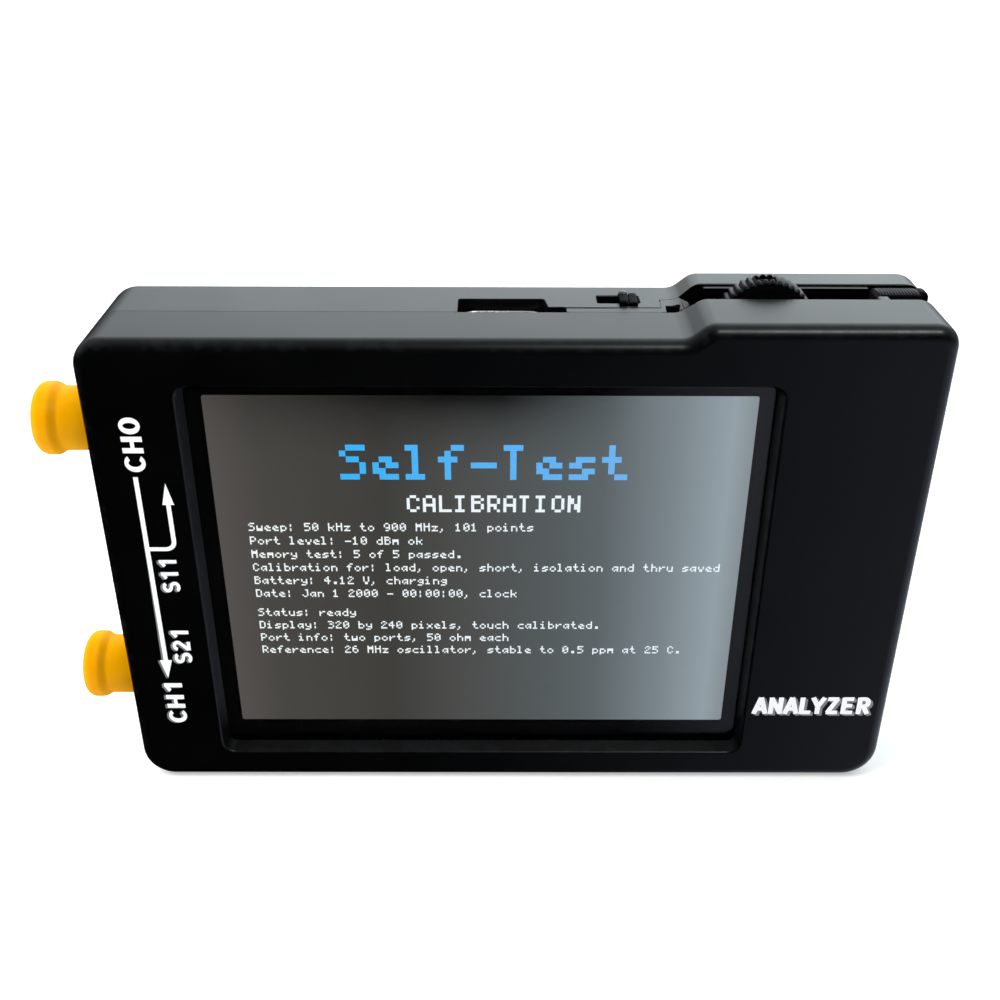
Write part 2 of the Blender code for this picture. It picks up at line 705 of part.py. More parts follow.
def build_wheel_spring():
    """A flat coil round the axle with two short legs, in the recess of the wheel's back."""
    coil_radius = 2.1
    wire_radius = 0.12
    leg_length = 0.9
    turns = 1.6
    first_turn = math.radians(-125)
    first_y = 3.62
    rise = 0.3
    steps = 34

    def leg_end(point):
        outward = Vector((point.x, 0, point.z)).normalized()
        return point + outward * leg_length

    coil = []
    for k in range(steps + 1):
        turn = first_turn - 2 * math.pi * turns * k / steps
        y = first_y + rise * k / steps
        coil.append(Vector((coil_radius * math.cos(turn), y, coil_radius * math.sin(turn))))
    points = [leg_end(coil[0]), *coil, leg_end(coil[-1])]
    curve = bpy.data.curves.new("wheel_spring", "CURVE")
    curve.dimensions = "3D"
    curve.bevel_depth = wire_radius * MM
    curve.bevel_resolution = 1
    curve.use_fill_caps = True
    spline = curve.splines.new("POLY")
    spline.points.add(len(points) - 1)
    for spot, point in zip(spline.points, points):
        spot.co = (point.x * MM, (point.y - WHEEL_AXIS.y) * MM, point.z * MM, 1.0)
    curve.materials.append(STEEL)
    obj = bpy.data.objects.new("wheel_spring", curve)
    obj.location = WHEEL_AXIS * MM
    bpy.context.collection.objects.link(obj)
    return obj


def build_wheel_base():
    x = WHEEL_AXIS.x
    base = block("wheel_switch_base", (x - 5.6, 1.4, 43.4), (x + 5.6, 5.9, 49.4), BLACK_GLOSS, edge=0.2)
    cut(base, block("carrier_guide", (x - 1.6, 2.1, 44.8), (x + 1.6, 5.5, 51.0)))
    dome = ((45.0, 1.3), (45.15, 1.3), (45.4, 0.8), (45.45, 0.3))
    turned("push_dome", "Z", (x, 3.8, 0), dome, STEEL, steps=16)


def build_jog_wheel():
    build_wheel_base()
    carrier, axle = build_wheel_carrier()
    spring = build_wheel_spring()
    wheel = build_thumbwheel()
    push = joint_empty("wheel_push", WHEEL_AXIS)
    tilt = joint_empty("wheel_tilt", WHEEL_AXIS)
    carry(push, carrier, axle, spring, tilt)
    carry(tilt, wheel)


build_front_shell()
build_back_shell()
build_screws()
build_display()
build_flex()
build_board()
build_chips()
build_cans()
build_battery()
for number, height in enumerate(PORT_HEIGHTS):
    build_port(number, height)
    build_cap(number, height)
build_usb()
build_power_switch()
build_jog_wheel()
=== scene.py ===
"""Looks of the handheld two-port network analyzer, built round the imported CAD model.

X runs to the right along the screen, Y runs from the screen to the back, and Z runs up to the side with
the controls. Shapes are worked out in millimetres and stored in metres. Every piece rides a CAD body.
"""

import math

import bmesh
import bpy
from mathutils import Matrix, Vector


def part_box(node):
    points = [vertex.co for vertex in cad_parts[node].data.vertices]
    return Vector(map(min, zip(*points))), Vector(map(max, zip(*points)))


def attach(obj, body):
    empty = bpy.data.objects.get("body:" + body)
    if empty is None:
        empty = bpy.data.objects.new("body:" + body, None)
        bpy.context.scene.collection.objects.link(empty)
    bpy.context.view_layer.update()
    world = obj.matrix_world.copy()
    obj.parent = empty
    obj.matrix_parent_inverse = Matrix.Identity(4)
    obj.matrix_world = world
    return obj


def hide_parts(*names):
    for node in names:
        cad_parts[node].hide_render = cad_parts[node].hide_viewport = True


MM = 0.001
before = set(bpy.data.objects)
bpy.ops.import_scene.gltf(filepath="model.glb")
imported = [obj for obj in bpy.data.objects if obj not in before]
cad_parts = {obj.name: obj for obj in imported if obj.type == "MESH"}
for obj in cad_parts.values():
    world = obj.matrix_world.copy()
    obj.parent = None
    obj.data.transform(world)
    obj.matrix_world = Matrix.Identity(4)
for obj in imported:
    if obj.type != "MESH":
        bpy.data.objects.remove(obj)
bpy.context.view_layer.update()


def box(node):
    """Lowest and highest corner of a CAD node, in millimetres."""
    low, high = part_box(node)
    return low / MM, high / MM


def middle_of(node):
    low, high = box(node)
    return (low + high) / 2


# ---------------------------------------------------------------- places taken from the frame

FRONT_Y = box("front_shell")[0].y
HALF_WIDTH, BACK_Y, RAISED_TOP = box("back_shell")[1]
# Print stands on the face of the front shell, by the thickness of a film
PRINT_Y = FRONT_Y
FACE_Y = FRONT_Y + 0.02
PRINT_BACK = FACE_Y + 0.03
SCREEN = middle_of("lcd_frame")
WHEEL = middle_of("wheel_axle")
PORTS = [middle_of(f"sma_pin_{i}") for i in range(2)]
SCREWS = [middle_of(f"case_screw_{i}") for i in range(4)]
BOARD_LOW, BOARD_HIGH = box("main_board")

# Case walls, as in the CAD model
LOW_TOP = 58.5
RAMP_FOOT_X = 17.9
RAMP_HEAD_X = 20.0
RAMP_RADIUS = 2.2
FRONT_FILLET = 1.5
BACK_FILLET = 1.2
SIDE_WALL = 1.8
FACE_WALL = 1.6
SEAM_Y = 0.75
SEAM = 0.03
LAP_HEIGHT = 0.9
LAP_WALL = 0.9
LAP_GAP = 0.3
WINDOW_LOW = (-35.5, 4.05)
WINDOW_HIGH = (28.4, 53.6)
WINDOW_CORNER = 1.6
WINDOW_SLOPE = 0.6 / FACE_WALL
WHEEL_SLOT_Y = (0.25, 5.1)
HEAD_SEAT_Y = box("case_screw_0")[1].y - 1.6

# Lit area of the display, and one pixel of its 320 by 240
LIT_LOW = Vector((-33.3, 7.2))
LIT_HIGH = Vector((26.2, 51.4))
PIXEL = 0.18

# Camera
CAMERA_PLACE = Vector((-1.96, -122.04, 105.14))
CAMERA_AIM = Vector((0.00396, 0.86873, -0.49526))
CAMERA_ROLL = math.radians(0.254)
CAMERA_LENS = 43.3

# Radiance of the surroundings, and the key lamp's power in watts
WORLD_OVERHEAD = 0.9
WORLD_BEHIND = 2.0
WORLD_RIGHT = 1.1
KEY_POWER = 2.5
STRIP_POWER = 2.2


# ---------------------------------------------------------------- mesh helpers


def linked(name, data):
    """A new object in the scene."""
    made = bpy.data.objects.new(name, data)
    bpy.context.scene.collection.objects.link(made)
    return made


def mesh_object(name, bm, material=None, smooth=35.0):
    """Turns millimetre geometry into an object in metres, smooth except at edges over the angle."""
    bmesh.ops.recalc_face_normals(bm, faces=bm.faces)
    bmesh.ops.scale(bm, verts=bm.verts, vec=(MM, MM, MM))
    mesh = bpy.data.meshes.new(name)
    bm.to_mesh(mesh)
    bm.free()
    mesh.shade_smooth()
    mesh.set_sharp_from_angle(angle=math.radians(smooth))
    if material:
        mesh.materials.append(material)
    return linked(name, mesh)


def skin(bm, rings, start=True, end=True):
    """Faces between rings of equal length, with the first and last ring filled if asked."""
    loops = [[bm.verts.new(point) for point in ring] for ring in rings]
    for first, second in zip(loops, loops[1:]):
        for i in range(len(first)):
            j = (i + 1) % len(first)
            bm.faces.new((first[i], first[j], second[j], second[i]))
    if start:
        bm.faces.new(loops[0])
    if end:
        bm.faces.new(loops[-1])
    return loops


def skinned(name, rings, material=None, smooth=35.0):
    """An object from a stack of rings, closed at both ends."""
    bm = bmesh.new()
    skin(bm, rings)
    return mesh_object(name, bm, material, smooth)


def hoop(name, rings, material=None):
    """An object from rings that run round and meet."""
    bm = bmesh.new()
    skin(bm, [*rings, rings[0]], start=False, end=False)
    bmesh.ops.remove_doubles(bm, verts=bm.verts, dist=1e-5)
    return mesh_object(name, bm, material)


def fill_between(bm, *loops):
    edges = [bm.edges.get((loop[i - 1], loop[i])) for loop in loops for i in range(len(loop))]
    bmesh.ops.triangle_fill(bm, use_beauty=True, edges=edges)


def polar(radius, turn):
    return radius * math.cos(turn), radius * math.sin(turn)


def eased_quarter(radius, steps):
    """Pairs (inset, depth) down a rounded edge, from the flat face to the side."""
    turns = [math.pi / 2 * k / steps for k in range(steps + 1)]
    return [(radius * (1 - math.sin(turn)), radius * (1 - math.cos(turn))) for turn in turns]


def bow(x, y, rx, ry, first, last, steps=10):
    """Points of an elliptical arc between two angles in degrees."""
    turns = [math.radians(first + (last - first) * k / steps) for k in range(steps + 1)]
    return [(x + rx * math.cos(turn), y + ry * math.sin(turn)) for turn in turns]


def rounded_outline(corners, inset, steps):
    """Points round an outline of (x, z, radius) corners, moved inwards by the inset."""
    points = []
    count = len(corners)
    for i in range(count):
        here = Vector(corners[i][:2])
        way_in = (here - Vector(corners[i - 1][:2])).normalized()
        way_out = (Vector(corners[(i + 1) % count][:2]) - here).normalized()
        inward_in = Vector((-way_in.y, way_in.x))
        inward_out = Vector((-way_out.y, way_out.x))
        here = here + inset * (inward_in + inward_out) / (1 + inward_in.dot(inward_out))
        side = 1 if way_in.cross(way_out) > 0 else -1
        radius = max(corners[i][2] - side * inset, 0.03)
        turn = math.acos(max(-1.0, min(1.0, way_in.dot(way_out))))
        start = here - way_in * radius * math.tan(turn / 2)
        centre = start + side * radius * inward_in
        for k in range(steps + 1):
            spoke = (start - centre).copy()
            spoke.rotate(Matrix.Rotation(side * turn * k / steps, 2))
            points.append(centre + spoke)
    return points


def flat_ring(outline, inset, y, steps=4):
    """A rounded outline as a ring that lies in the plane at Y."""
    return [(p.x, y, p.y) for p in rounded_outline(outline, inset, steps)]


def rectangle(low, high, radius):
    corners = ((low[0], low[1]), (high[0], low[1]), (high[0], high[1]), (low[0], high[1]))
    return [(*corner, radius) for corner in corners]


def circle(axis, centre, along, radius, steps):
    """A ring round the X or Y axis through the centre."""
    points = []
    for k in range(steps):
        u, v = polar(radius, 2 * math.pi * k / steps)
        x_ring = (along, centre.y + u, centre.z + v)
        points.append(x_ring if axis == "X" else (centre.x + u, along, centre.z + v))
    return points


def turned(name, axis, centres, profile, material=None, steps=48, smooth=35.0):
    """Turned shapes, one at each centre, from (place along the axis, radius) pairs."""
    bm = bmesh.new()
    for centre in centres:
        skin(bm, [circle(axis, centre, a, r, steps) for a, r in profile])
    return mesh_object(name, bm, material, smooth)


def add_block(bm, low, high, edge=0.0, segments=2):
    """A box between two corners with rounded edges."""
    low = Vector(low)
    high = Vector(high)
    place = Matrix.Translation((low + high) / 2) @ Matrix.Diagonal((*(high - low), 1.0))
    made = bmesh.ops.create_cube(bm, size=1.0, matrix=place)
    if edge:
        edges = list({e for v in made["verts"] for e in v.link_edges})
        bmesh.ops.bevel(bm, geom=edges, offset=edge, segments=segments, profile=0.5, affect="EDGES")


def block(name, low, high, material=None, edge=0.0, segments=2):
    bm = bmesh.new()
    add_block(bm, low, high, edge, segments)
    return mesh_object(name, bm, material)


def prism(name, outline, y_front, material):
    """An (x, z) outline printed on the front."""
    return skinned(name, [[(x, y, z) for x, z in outline] for y in (y_front, PRINT_BACK)], material)


def plan_prism(name, outline, z_low, z_high, flare_at=None, flare=0.0):
    """A cutter from an (x, y) outline, widening over its last stretch to ease the edge that it cuts."""
    levels = [(z_low, 0.0), (z_high, 0.0)]
    if flare_at is not None:
        levels = [(z_low, 0.0), (flare_at - flare, 0.0), (flare_at, flare), (z_high, flare)]
    rings = [[(p.x, p.y, z) for p in rounded_outline(outline, -grow, 4)] for z, grow in levels]
    return skinned(name, rings)


def combine(target, operation, *tools):
    """Joins or cuts with the tools, applies the result and drops the tools."""
    for tool in tools:
        modifier = target.modifiers.new(tool.name, "BOOLEAN")
        modifier.operation = operation
        modifier.object = tool
    graph = bpy.context.evaluated_depsgraph_get()
    target.data = bpy.data.meshes.new_from_object(target.evaluated_get(graph))
    target.modifiers.clear()
    for tool in tools:
        bpy.data.objects.remove(tool, do_unlink=True)


def finish_edges(target, smooth=35.0):
    """Shading that keeps flat faces flat beside their rounded edges."""
    target.data.shade_smooth()
    target.data.set_sharp_from_angle(angle=math.radians(smooth))
    even = target.modifiers.new("even_normals", "WEIGHTED_NORMAL")
    even.keep_sharp = True
    even.weight = 90


def place(piece, body, slot, *replaced):
    """Puts a piece on its body and hides the CAD nodes that it stands for; the slot is not used."""
    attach(piece, body)
    if replaced:
        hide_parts(*replaced)
    return piece


def mark_worn_edges(target):
    """Marks the points inside the rounded edges of the two faces, for the wear in the case's material."""
    bm = bmesh.new()
    bm.from_mesh(target.data)
    bm.normal_update()
    values = []
    for vert in bm.verts:
        lean = [abs(f.normal.y) for f in vert.link_faces]
        values.append(1.0 if lean and min(lean) > 0.1 and max(lean) < 0.97 else 0.0)
    bm.free()
    attribute = target.data.attributes.new("worn_edge", "FLOAT", "POINT")
    attribute.data.foreach_set("value", values)


# ---------------------------------------------------------------- material helpers


def linear(*colour):
    """8-bit display colour to the linear values that shaders take."""
    out = []
    for value in colour:
        share = value / 255
        out.append(share / 12.92 if share <= 0.04045 else ((share + 0.055) / 1.055) ** 2.4)
    return tuple(out)


class Graph:
    """The nodes of a material or a world, and short ways to add to them."""

    def __init__(self, owner):
        owner.use_nodes = True
        self.tree = owner.node_tree

    def put(self, socket, value):
        """Links an output to the socket, or sets a constant on it."""
        if hasattr(value, "is_output"):
            self.tree.links.new(value, socket)
        else:
            socket.default_value = value

    def add(self, kind, inputs=None, **settings):
        made = self.tree.nodes.new(kind)
        for key, value in settings.items():
            setattr(made, key, value)
        for key, value in (inputs or {}).items():
            self.put(made.inputs[key], value)
        return made

    def math(self, operation, first, second):
        return self.add("ShaderNodeMath", {0: first, 1: second}, operation=operation).outputs[0]

    def multiply(self, first, second):
        return self.math("MULTIPLY", first, second)

    def split(self, vector):
        return self.add("ShaderNodeSeparateXYZ", {0: vector}).outputs

    def ramp(self, value, low, high, to_low=0.0, to_high=1.0, **settings):
        inputs = {"Value": value, "From Min": low, "From Max": high, "To Min": to_low, "To Max": to_high}
        return self.add("ShaderNodeMapRange", inputs, **settings).outputs[0]

    def mix(self, factor, first, second):
        """Blends two colours, each an output or a plain (r, g, b)."""
        made = self.add("ShaderNodeMix", data_type="RGBA")
        for socket, value in ((0, factor), (6, first), (7, second)):
            self.put(made.inputs[socket], (*value, 1.0) if isinstance(value, tuple) else value)
        return made.outputs[2]


class Shader(Graph):
    """A Principled material and the few node chains that the finishes here share."""

    def __init__(self, name, colour, roughness, metallic=0.0, **settings):
        self.material = bpy.data.materials.new(name)
        super().__init__(self.material)
        self.shader = self.tree.nodes["Principled BSDF"]
        self.colour = colour
        self.roughness = roughness
        self.feed("Base Color", (*colour, 1.0))
        self.feed("Roughness", roughness)
        self.feed("Metallic", metallic)
        for key, value in settings.items():
            self.feed(key.replace("_", " "), value)
        self.object_space = self.add("ShaderNodeTexCoord").outputs["Object"]

    def feed(self, socket, value):
        self.put(self.shader.inputs[socket], value)

    def noise(self, size, detail=2.0, stretch=None):
        """Noise whose features are about the given size in millimetres."""
        space = self.object_space
        if stretch:
            space = self.add("ShaderNodeMapping", {"Vector": space, "Scale": stretch}).outputs[0]
        inputs = {"Vector": space, "Scale": 1 / (size * MM), "Detail": detail}
        return self.add("ShaderNodeTexNoise", inputs).outputs["Fac"]

    def vary_roughness(self, value, spread):
        low = self.roughness - spread
        high = self.roughness + spread
        self.feed("Roughness", self.ramp(value, 0.3, 0.7, low, high))

    def vary_colour(self, value, other, low=0.35, high=0.65):
        self.feed("Base Color", self.mix(self.ramp(value, low, high), self.colour, other))

    def bump(self, *layers):
        """Stacks (height, depth in micrometres, strength) layers."""
        normal = None
        for height, depth, strength in layers:
            inputs = {"Height": height, "Distance": depth * MM * MM, "Strength": strength}
            if normal:
                inputs["Normal"] = normal
            normal = self.add("ShaderNodeBump", inputs).outputs[0]
        self.feed("Normal", normal)


def moulded(name, colour, roughness, grain, depth, lighter, gloss=0.5):
    """Moulded plastic: a fine grain, cloudier roughness over it and a little colour drift."""
    look = Shader(name, colour, roughness, Specular_IOR_Level=gloss)
    fine = look.noise(grain, 3.0)
    cloud = look.noise(grain * 40, 3.0)
    look.vary_roughness(look.math("MAXIMUM", fine, cloud), 0.05)
    look.bump((cloud, depth * 2, 0.15), (fine, depth, 0.5))
    look.vary_colour(cloud, lighter)
    return look.material


def brushed(name, colour, roughness, stretch):
    """Metal with drawn or rolled streaks along one direction, and faint smudges."""
    look = Shader(name, colour, roughness, 1.0)
    streaks = look.noise(0.12, 2.0, stretch)
    smudges = look.noise(3.0, 3.0)
    look.vary_roughness(look.math("MAXIMUM", streaks, smudges), 0.07)
    look.bump((streaks, 3.0, 0.35))
    look.vary_colour(smudges, tuple(0.8 * c for c in colour))
    return look.material


# ---------------------------------------------------------------- materials


def case_plastic(name, gloss):
    """Black ABS with a fine spark-eroded texture, polished a little along the handled edges."""
    look = Shader(name, (0.0006, 0.0007, 0.0010), 0.35, Specular_IOR_Level=gloss)
    fine = look.noise(0.10, 3.0)
    pits = look.noise(0.35, 2.0)
    cloud = look.noise(9.0, 4.0)
    worn = look.add("ShaderNodeAttribute", attribute_name="worn_edge").outputs["Fac"]
    scuffs = look.multiply(worn, look.ramp(look.noise(1.6, 5.0), 0.48, 0.60))
    drift = look.mix(look.ramp(cloud, 0.35, 0.65), (0.0004, 0.0005, 0.0007), (0.0009, 0.0010, 0.0013))
    look.feed("Base Color", look.mix(scuffs, drift, (0.0045, 0.005, 0.006)))
    satin = look.ramp(cloud, 0.3, 0.7, 0.345, 0.37)
    grainy = look.math("ADD", satin, look.ramp(fine, 0.3, 0.7, -0.02, 0.02))
    look.feed("Roughness", look.math("ADD", grainy, look.multiply(scuffs, -0.03)))
    look.bump((cloud, 10.0, 0.06), (pits, 4.0, 0.2), (fine, 2.5, 0.4))
    return look.material


# Brightness of the display from its left edge to its right, as 8-bit colours: the backlight's glow, with a
# painted reflection that brightens it towards the right
GLOW_AND_REFLECTION_STOPS = (
    (0.00, (90, 85, 82)),
    (0.09, (76, 74, 70)),
    (0.32, (67, 66, 62)),
    (0.46, (80, 81, 79)),
    (0.60, (87, 92, 92)),
    (0.73, (97, 105, 108)),
    (0.86, (126, 137, 142)),
    (0.96, (152, 164, 171)),
    (1.00, (136, 145, 150)),
)
BLACK = (0.0, 0.0, 0.0)


def display_glow_and_painted_reflection():
    """The backlight seen through the dark panel, with a painted reflection that brightens it to the right and
    painted shade that dims it at the top.
    """
    look = Shader("display_glow_and_painted_reflection", (0.004, 0.004, 0.005), 0.30, Specular_IOR_Level=0.2, Emission_Strength=1.0)
    x, _, z = look.split(look.object_space)
    across = look.ramp(x, LIT_LOW.x * MM, LIT_HIGH.x * MM)
    shades = look.add("ShaderNodeValToRGB", {0: across})
    elements = shades.color_ramp.elements
    while len(elements) < len(GLOW_AND_REFLECTION_STOPS):
        elements.new(0.5)
    for element, (at, colour) in zip(elements, GLOW_AND_REFLECTION_STOPS):
        element.position = at
        element.color = (*linear(*colour), 1.0)
    # Painted shade: darkens the top of the display, most just left of its middle
    high = look.ramp(z, 41.5 * MM, 51.0 * MM)
    middle = look.multiply(look.ramp(across, 0.80, 0.54), look.ramp(across, 0.0, 0.42, 0.25, 1.0))
    painted_top_shade = look.ramp(look.multiply(look.multiply(high, high), middle), 0.0, 1.0, 1.0, 0.12)
    cells = look.noise(0.10, 2.0)
    sparkle = look.ramp(cells, 0.3, 0.7, 0.93, 1.07)
    level = look.multiply(look.multiply(painted_top_shade, sparkle), pixel_grid(look, x, 0.93))
    look.feed("Emission Color", look.mix(level, BLACK, shades.outputs[0]))
    look.bump((cells, 1.0, 0.2))
    return look.material


def pixel_grid(look, x, darkest):
    """Brightness that dips at the gap between neighbouring columns of the display."""
    column = look.math("PINGPONG", x, PIXEL * MM / 2)
    return look.ramp(column, 0.0, 0.03 * MM, darkest, 1.0)


def lit_pixels(name, left, right, strength):
    """Lit display pixels, with a fine stripe pattern and a colour that shifts across the screen."""
    look = Shader(name, (0.02, 0.02, 0.02), 0.35, Specular_IOR_Level=0.1, Emission_Strength=strength)
    x = look.split(look.object_space)[0]
    shift = look.mix(look.ramp(x, -20 * MM, 14 * MM), linear(*left), linear(*right))
    uneven = look.ramp(look.noise(0.16, 1.0), 0.3, 0.7, 0.88, 1.0)
    level = look.multiply(uneven, pixel_grid(look, x, 0.80))
    look.feed("Emission Color", look.mix(level, BLACK, shift))
    return look.material


def touch_film():
    """Clear resistive film over the display, with the faint waviness of a bonded sheet."""
    look = Shader("touch_film", (0.97, 0.98, 0.99), 0.02, Transmission_Weight=1.0, IOR=1.40)
    look.bump((look.noise(14.0, 2.0), 12.0, 0.05))
    return look.material


def vinyl():
    """Dip-moulded yellow vinyl: satin, slightly translucent, with soft ripples."""
    look = Shader("yellow_vinyl", (1.0, 0.40, 0.0), 0.45, Specular_IOR_Level=0.05, Subsurface_Weight=0.12,
                  Subsurface_Radius=(1.0, 0.45, 0.05), Subsurface_Scale=0.0012)
    cloud = look.noise(1.8, 3.0)
    fine = look.noise(0.14, 2.0)
    look.vary_colour(cloud, (1.0, 0.44, 0.0))
    look.vary_roughness(fine, 0.06)
    look.bump((cloud, 30.0, 0.16), (fine, 4.0, 0.3))
    return look.material


def print_ink_and_painted_light(name, colour, painted_glow):
    """Pad-printed ink, a little uneven where it took less well, with a painted glow that brightens the white;
    the grey copies are a painted shadow.
    """
    look = Shader(name, colour, 0.5, Emission_Color=(1.0, 1.0, 1.0, 1.0), Emission_Strength=painted_glow)
    thin = look.noise(0.25, 4.0)
    look.vary_colour(thin, tuple(0.86 * c for c in colour), 0.5, 0.75)
    look.vary_roughness(thin, 0.08)
    look.bump((thin, 3.0, 0.3))
    return look.material


def solder_mask():
    """Dark lacquer with the weave of the glass cloth showing faintly."""
    look = Shader("dark_solder_mask", (0.006, 0.009, 0.020), 0.3, Coat_Weight=0.3, Coat_Roughness=0.15)
    cloth = look.multiply(look.noise(0.5, 1.0, (1.0, 1.0, 0.25)), look.noise(0.5, 1.0, (0.25, 1.0, 1.0)))
    look.vary_colour(look.noise(6.0, 3.0), (0.010, 0.014, 0.030))
    look.vary_roughness(cloth, 0.05)
    look.bump((cloth, 8.0, 0.25))
    return look.material


def foam():
    look = Shader("black_foam", (0.018, 0.018, 0.019), 0.9, Specular_IOR_Level=0.15)
    inputs = {"Vector": look.object_space, "Scale": 1 / (0.22 * MM)}
    cells = look.add("ShaderNodeTexVoronoi", inputs).outputs["Distance"]
    look.vary_colour(cells, (0.006, 0.006, 0.007), 0.1, 0.5)
    look.bump((cells, 60.0, 0.6))
    return look.material


def pouch():
    """Creased aluminium foil."""
    look = Shader("battery_foil", (0.62, 0.63, 0.65), 0.30, 0.85)
    streaks = look.noise(0.12, 2.0, (0.2, 1.0, 1.0))
    smudges = look.noise(3.0, 3.0)
    look.vary_roughness(look.math("MAXIMUM", streaks, smudges), 0.07)
    look.vary_colour(smudges, tuple(0.8 * c for c in look.colour))
    look.bump((look.noise(4.5, 5.0), 120.0, 0.25), (look.noise(0.2, 2.0), 4.0, 0.25))
    return look.material


def paper_tape():
    look = Shader("tissue_tape", (0.74, 0.73, 0.68), 0.85)
    fibres = look.noise(0.35, 4.0, (1.0, 1.0, 0.2))
    look.vary_colour(fibres, (0.62, 0.61, 0.56))
    look.bump((fibres, 25.0, 0.4))
    return look.material


def polyimide():
    """Amber film with the copper tracks of the ribbon showing through as stripes."""
    look = Shader("flex_polyimide", (0.42, 0.17, 0.03), 0.3, Specular_IOR_Level=0.5)
    phase = look.math("PINGPONG", look.split(look.object_space)[2], 0.5 * MM)
    tracks = look.ramp(phase, 0.20 * MM, 0.26 * MM)
    look.feed("Base Color", look.mix(tracks, (0.24, 0.08, 0.015), (0.55, 0.26, 0.06)))
    look.vary_roughness(look.noise(0.6, 3.0), 0.06)
    look.bump((tracks, 12.0, 0.5))
    return look.material


def led_resin():
    look = Shader("led_resin", (0.80, 0.82, 0.72), 0.18, Transmission_Weight=0.35, IOR=1.5)
    look.vary_colour(look.noise(0.4, 2.0), (0.86, 0.84, 0.60))
    look.bump((look.noise(0.2, 2.0), 3.0, 0.3))
    return look.material


FRONT_CASE = case_plastic("front_black_abs", 0.20)
BACK_CASE = case_plastic("back_black_abs", 0.27)
GLOW_AND_PAINTED_REFLECTION = display_glow_and_painted_reflection()
WHITE_PIXELS = lit_pixels("white_pixels", (234, 240, 240), (226, 236, 242), 1.3)
BLUE_PIXELS = lit_pixels("blue_pixels", (50, 176, 246), (110, 176, 234), 1.25)
FILM = touch_film()
VINYL = vinyl()
# The white ink glows a little: painted light that brightens it
WHITE_INK_WITH_PAINTED_GLOW = print_ink_and_painted_light("white_ink_painted_glow", (0.95, 0.95, 0.95), 0.16)
# Grey copies of the lettering, offset down and to one side, are a painted shadow
PAINTED_SHADOW_INK = print_ink_and_painted_light("painted_shadow_grey", (0.24, 0.24, 0.25), 0.0)
MASK = solder_mask()
POLYIMIDE = polyimide()
FOAM = foam()
POUCH = pouch()
TAPE = paper_tape()
LED = led_resin()
# Colour, roughness, size of the grain in millimetres and its depth, lighter colour, gloss
BLACK_TAPE = moulded("black_border_tape", (0.003, 0.003, 0.004), 0.5, 0.2, 3.0, (0.005, 0.005, 0.006), 0.15)
SWITCH = moulded("switch_nylon", (0.003, 0.003, 0.004), 0.36, 0.15, 4.0, (0.005, 0.005, 0.006), 0.12)
LEVER = moulded("lever_nylon", (0.001, 0.001, 0.001), 0.4, 0.12, 4.0, (0.002, 0.002, 0.002), 0.015)
POLISHED = moulded("polished_nylon", (0.02, 0.02, 0.02), 0.14, 0.12, 1.5, (0.03, 0.03, 0.03), 0.6)
GRIP = moulded("strap_bar_plastic", (0.003, 0.003, 0.004), 0.34, 0.12, 12.0, (0.006, 0.006, 0.007), 0.10)
DIELECTRIC = moulded("white_dielectric", (0.82, 0.82, 0.80), 0.45, 0.2, 4.0, (0.78, 0.77, 0.73))
CHIP = moulded("chip_epoxy", (0.018, 0.018, 0.020), 0.5, 0.08, 5.0, (0.026, 0.026, 0.028))
NYLON = moulded("natural_nylon", (0.80, 0.77, 0.67), 0.45, 0.25, 4.0, (0.74, 0.71, 0.62))
RED_WIRE = moulded("red_insulation", (0.58, 0.02, 0.02), 0.4, 0.2, 3.0, (0.50, 0.02, 0.02))
BLACK_WIRE = moulded("black_insulation", (0.015, 0.015, 0.016), 0.4, 0.2, 3.0, (0.03, 0.03, 0.03))
CERAMIC = moulded("chip_ceramic", (0.30, 0.19, 0.11), 0.4, 0.06, 2.0, (0.24, 0.15, 0.09))
# Colour, roughness, and the stretch of the streaks along each axis
STEEL = brushed("plated_steel", (0.66, 0.66, 0.65), 0.24, (1.0, 1.0, 0.12))
SCREW_STEEL = brushed("zinc_plate", (0.34, 0.34, 0.35), 0.32, (1.0, 0.15, 1.0))
TIN = brushed("tin_plate", (0.66, 0.66, 0.64), 0.36, (0.1, 1.0, 1.0))
GOLD = brushed("gold_plate", (0.87, 0.61, 0.22), 0.22, (1.0, 0.2, 0.2))
AXLE = brushed("turned_pin", (0.60, 0.58, 0.52), 0.28, (0.2, 1.0, 0.2))


# ---------------------------------------------------------------- case shells

CASE_CORNERS = (
    (-HALF_WIDTH, 0.0, 3.8),
    (HALF_WIDTH, 0.0, 4.2),
    (HALF_WIDTH, RAISED_TOP, 2.5),
    (RAMP_HEAD_X, RAISED_TOP, RAMP_RADIUS),
    (RAMP_FOOT_X, LOW_TOP, RAMP_RADIUS),
    (-HALF_WIDTH, LOW_TOP, 3.2),
)
CORNER_STEPS = 10
FILLET_STEPS = 8
# Where cutters end, clear of the case
PAST_SIDE = HALF_WIDTH + 2
PAST_TOP = RAISED_TOP + 2


def posts(name, profile, steps=32):
    """Round shapes on the four screw axes."""
    return turned(name, "Y", SCREWS, profile, None, steps)


def case_ring(inset, y):
    return flat_ring(CASE_CORNERS, inset, y, CORNER_STEPS)


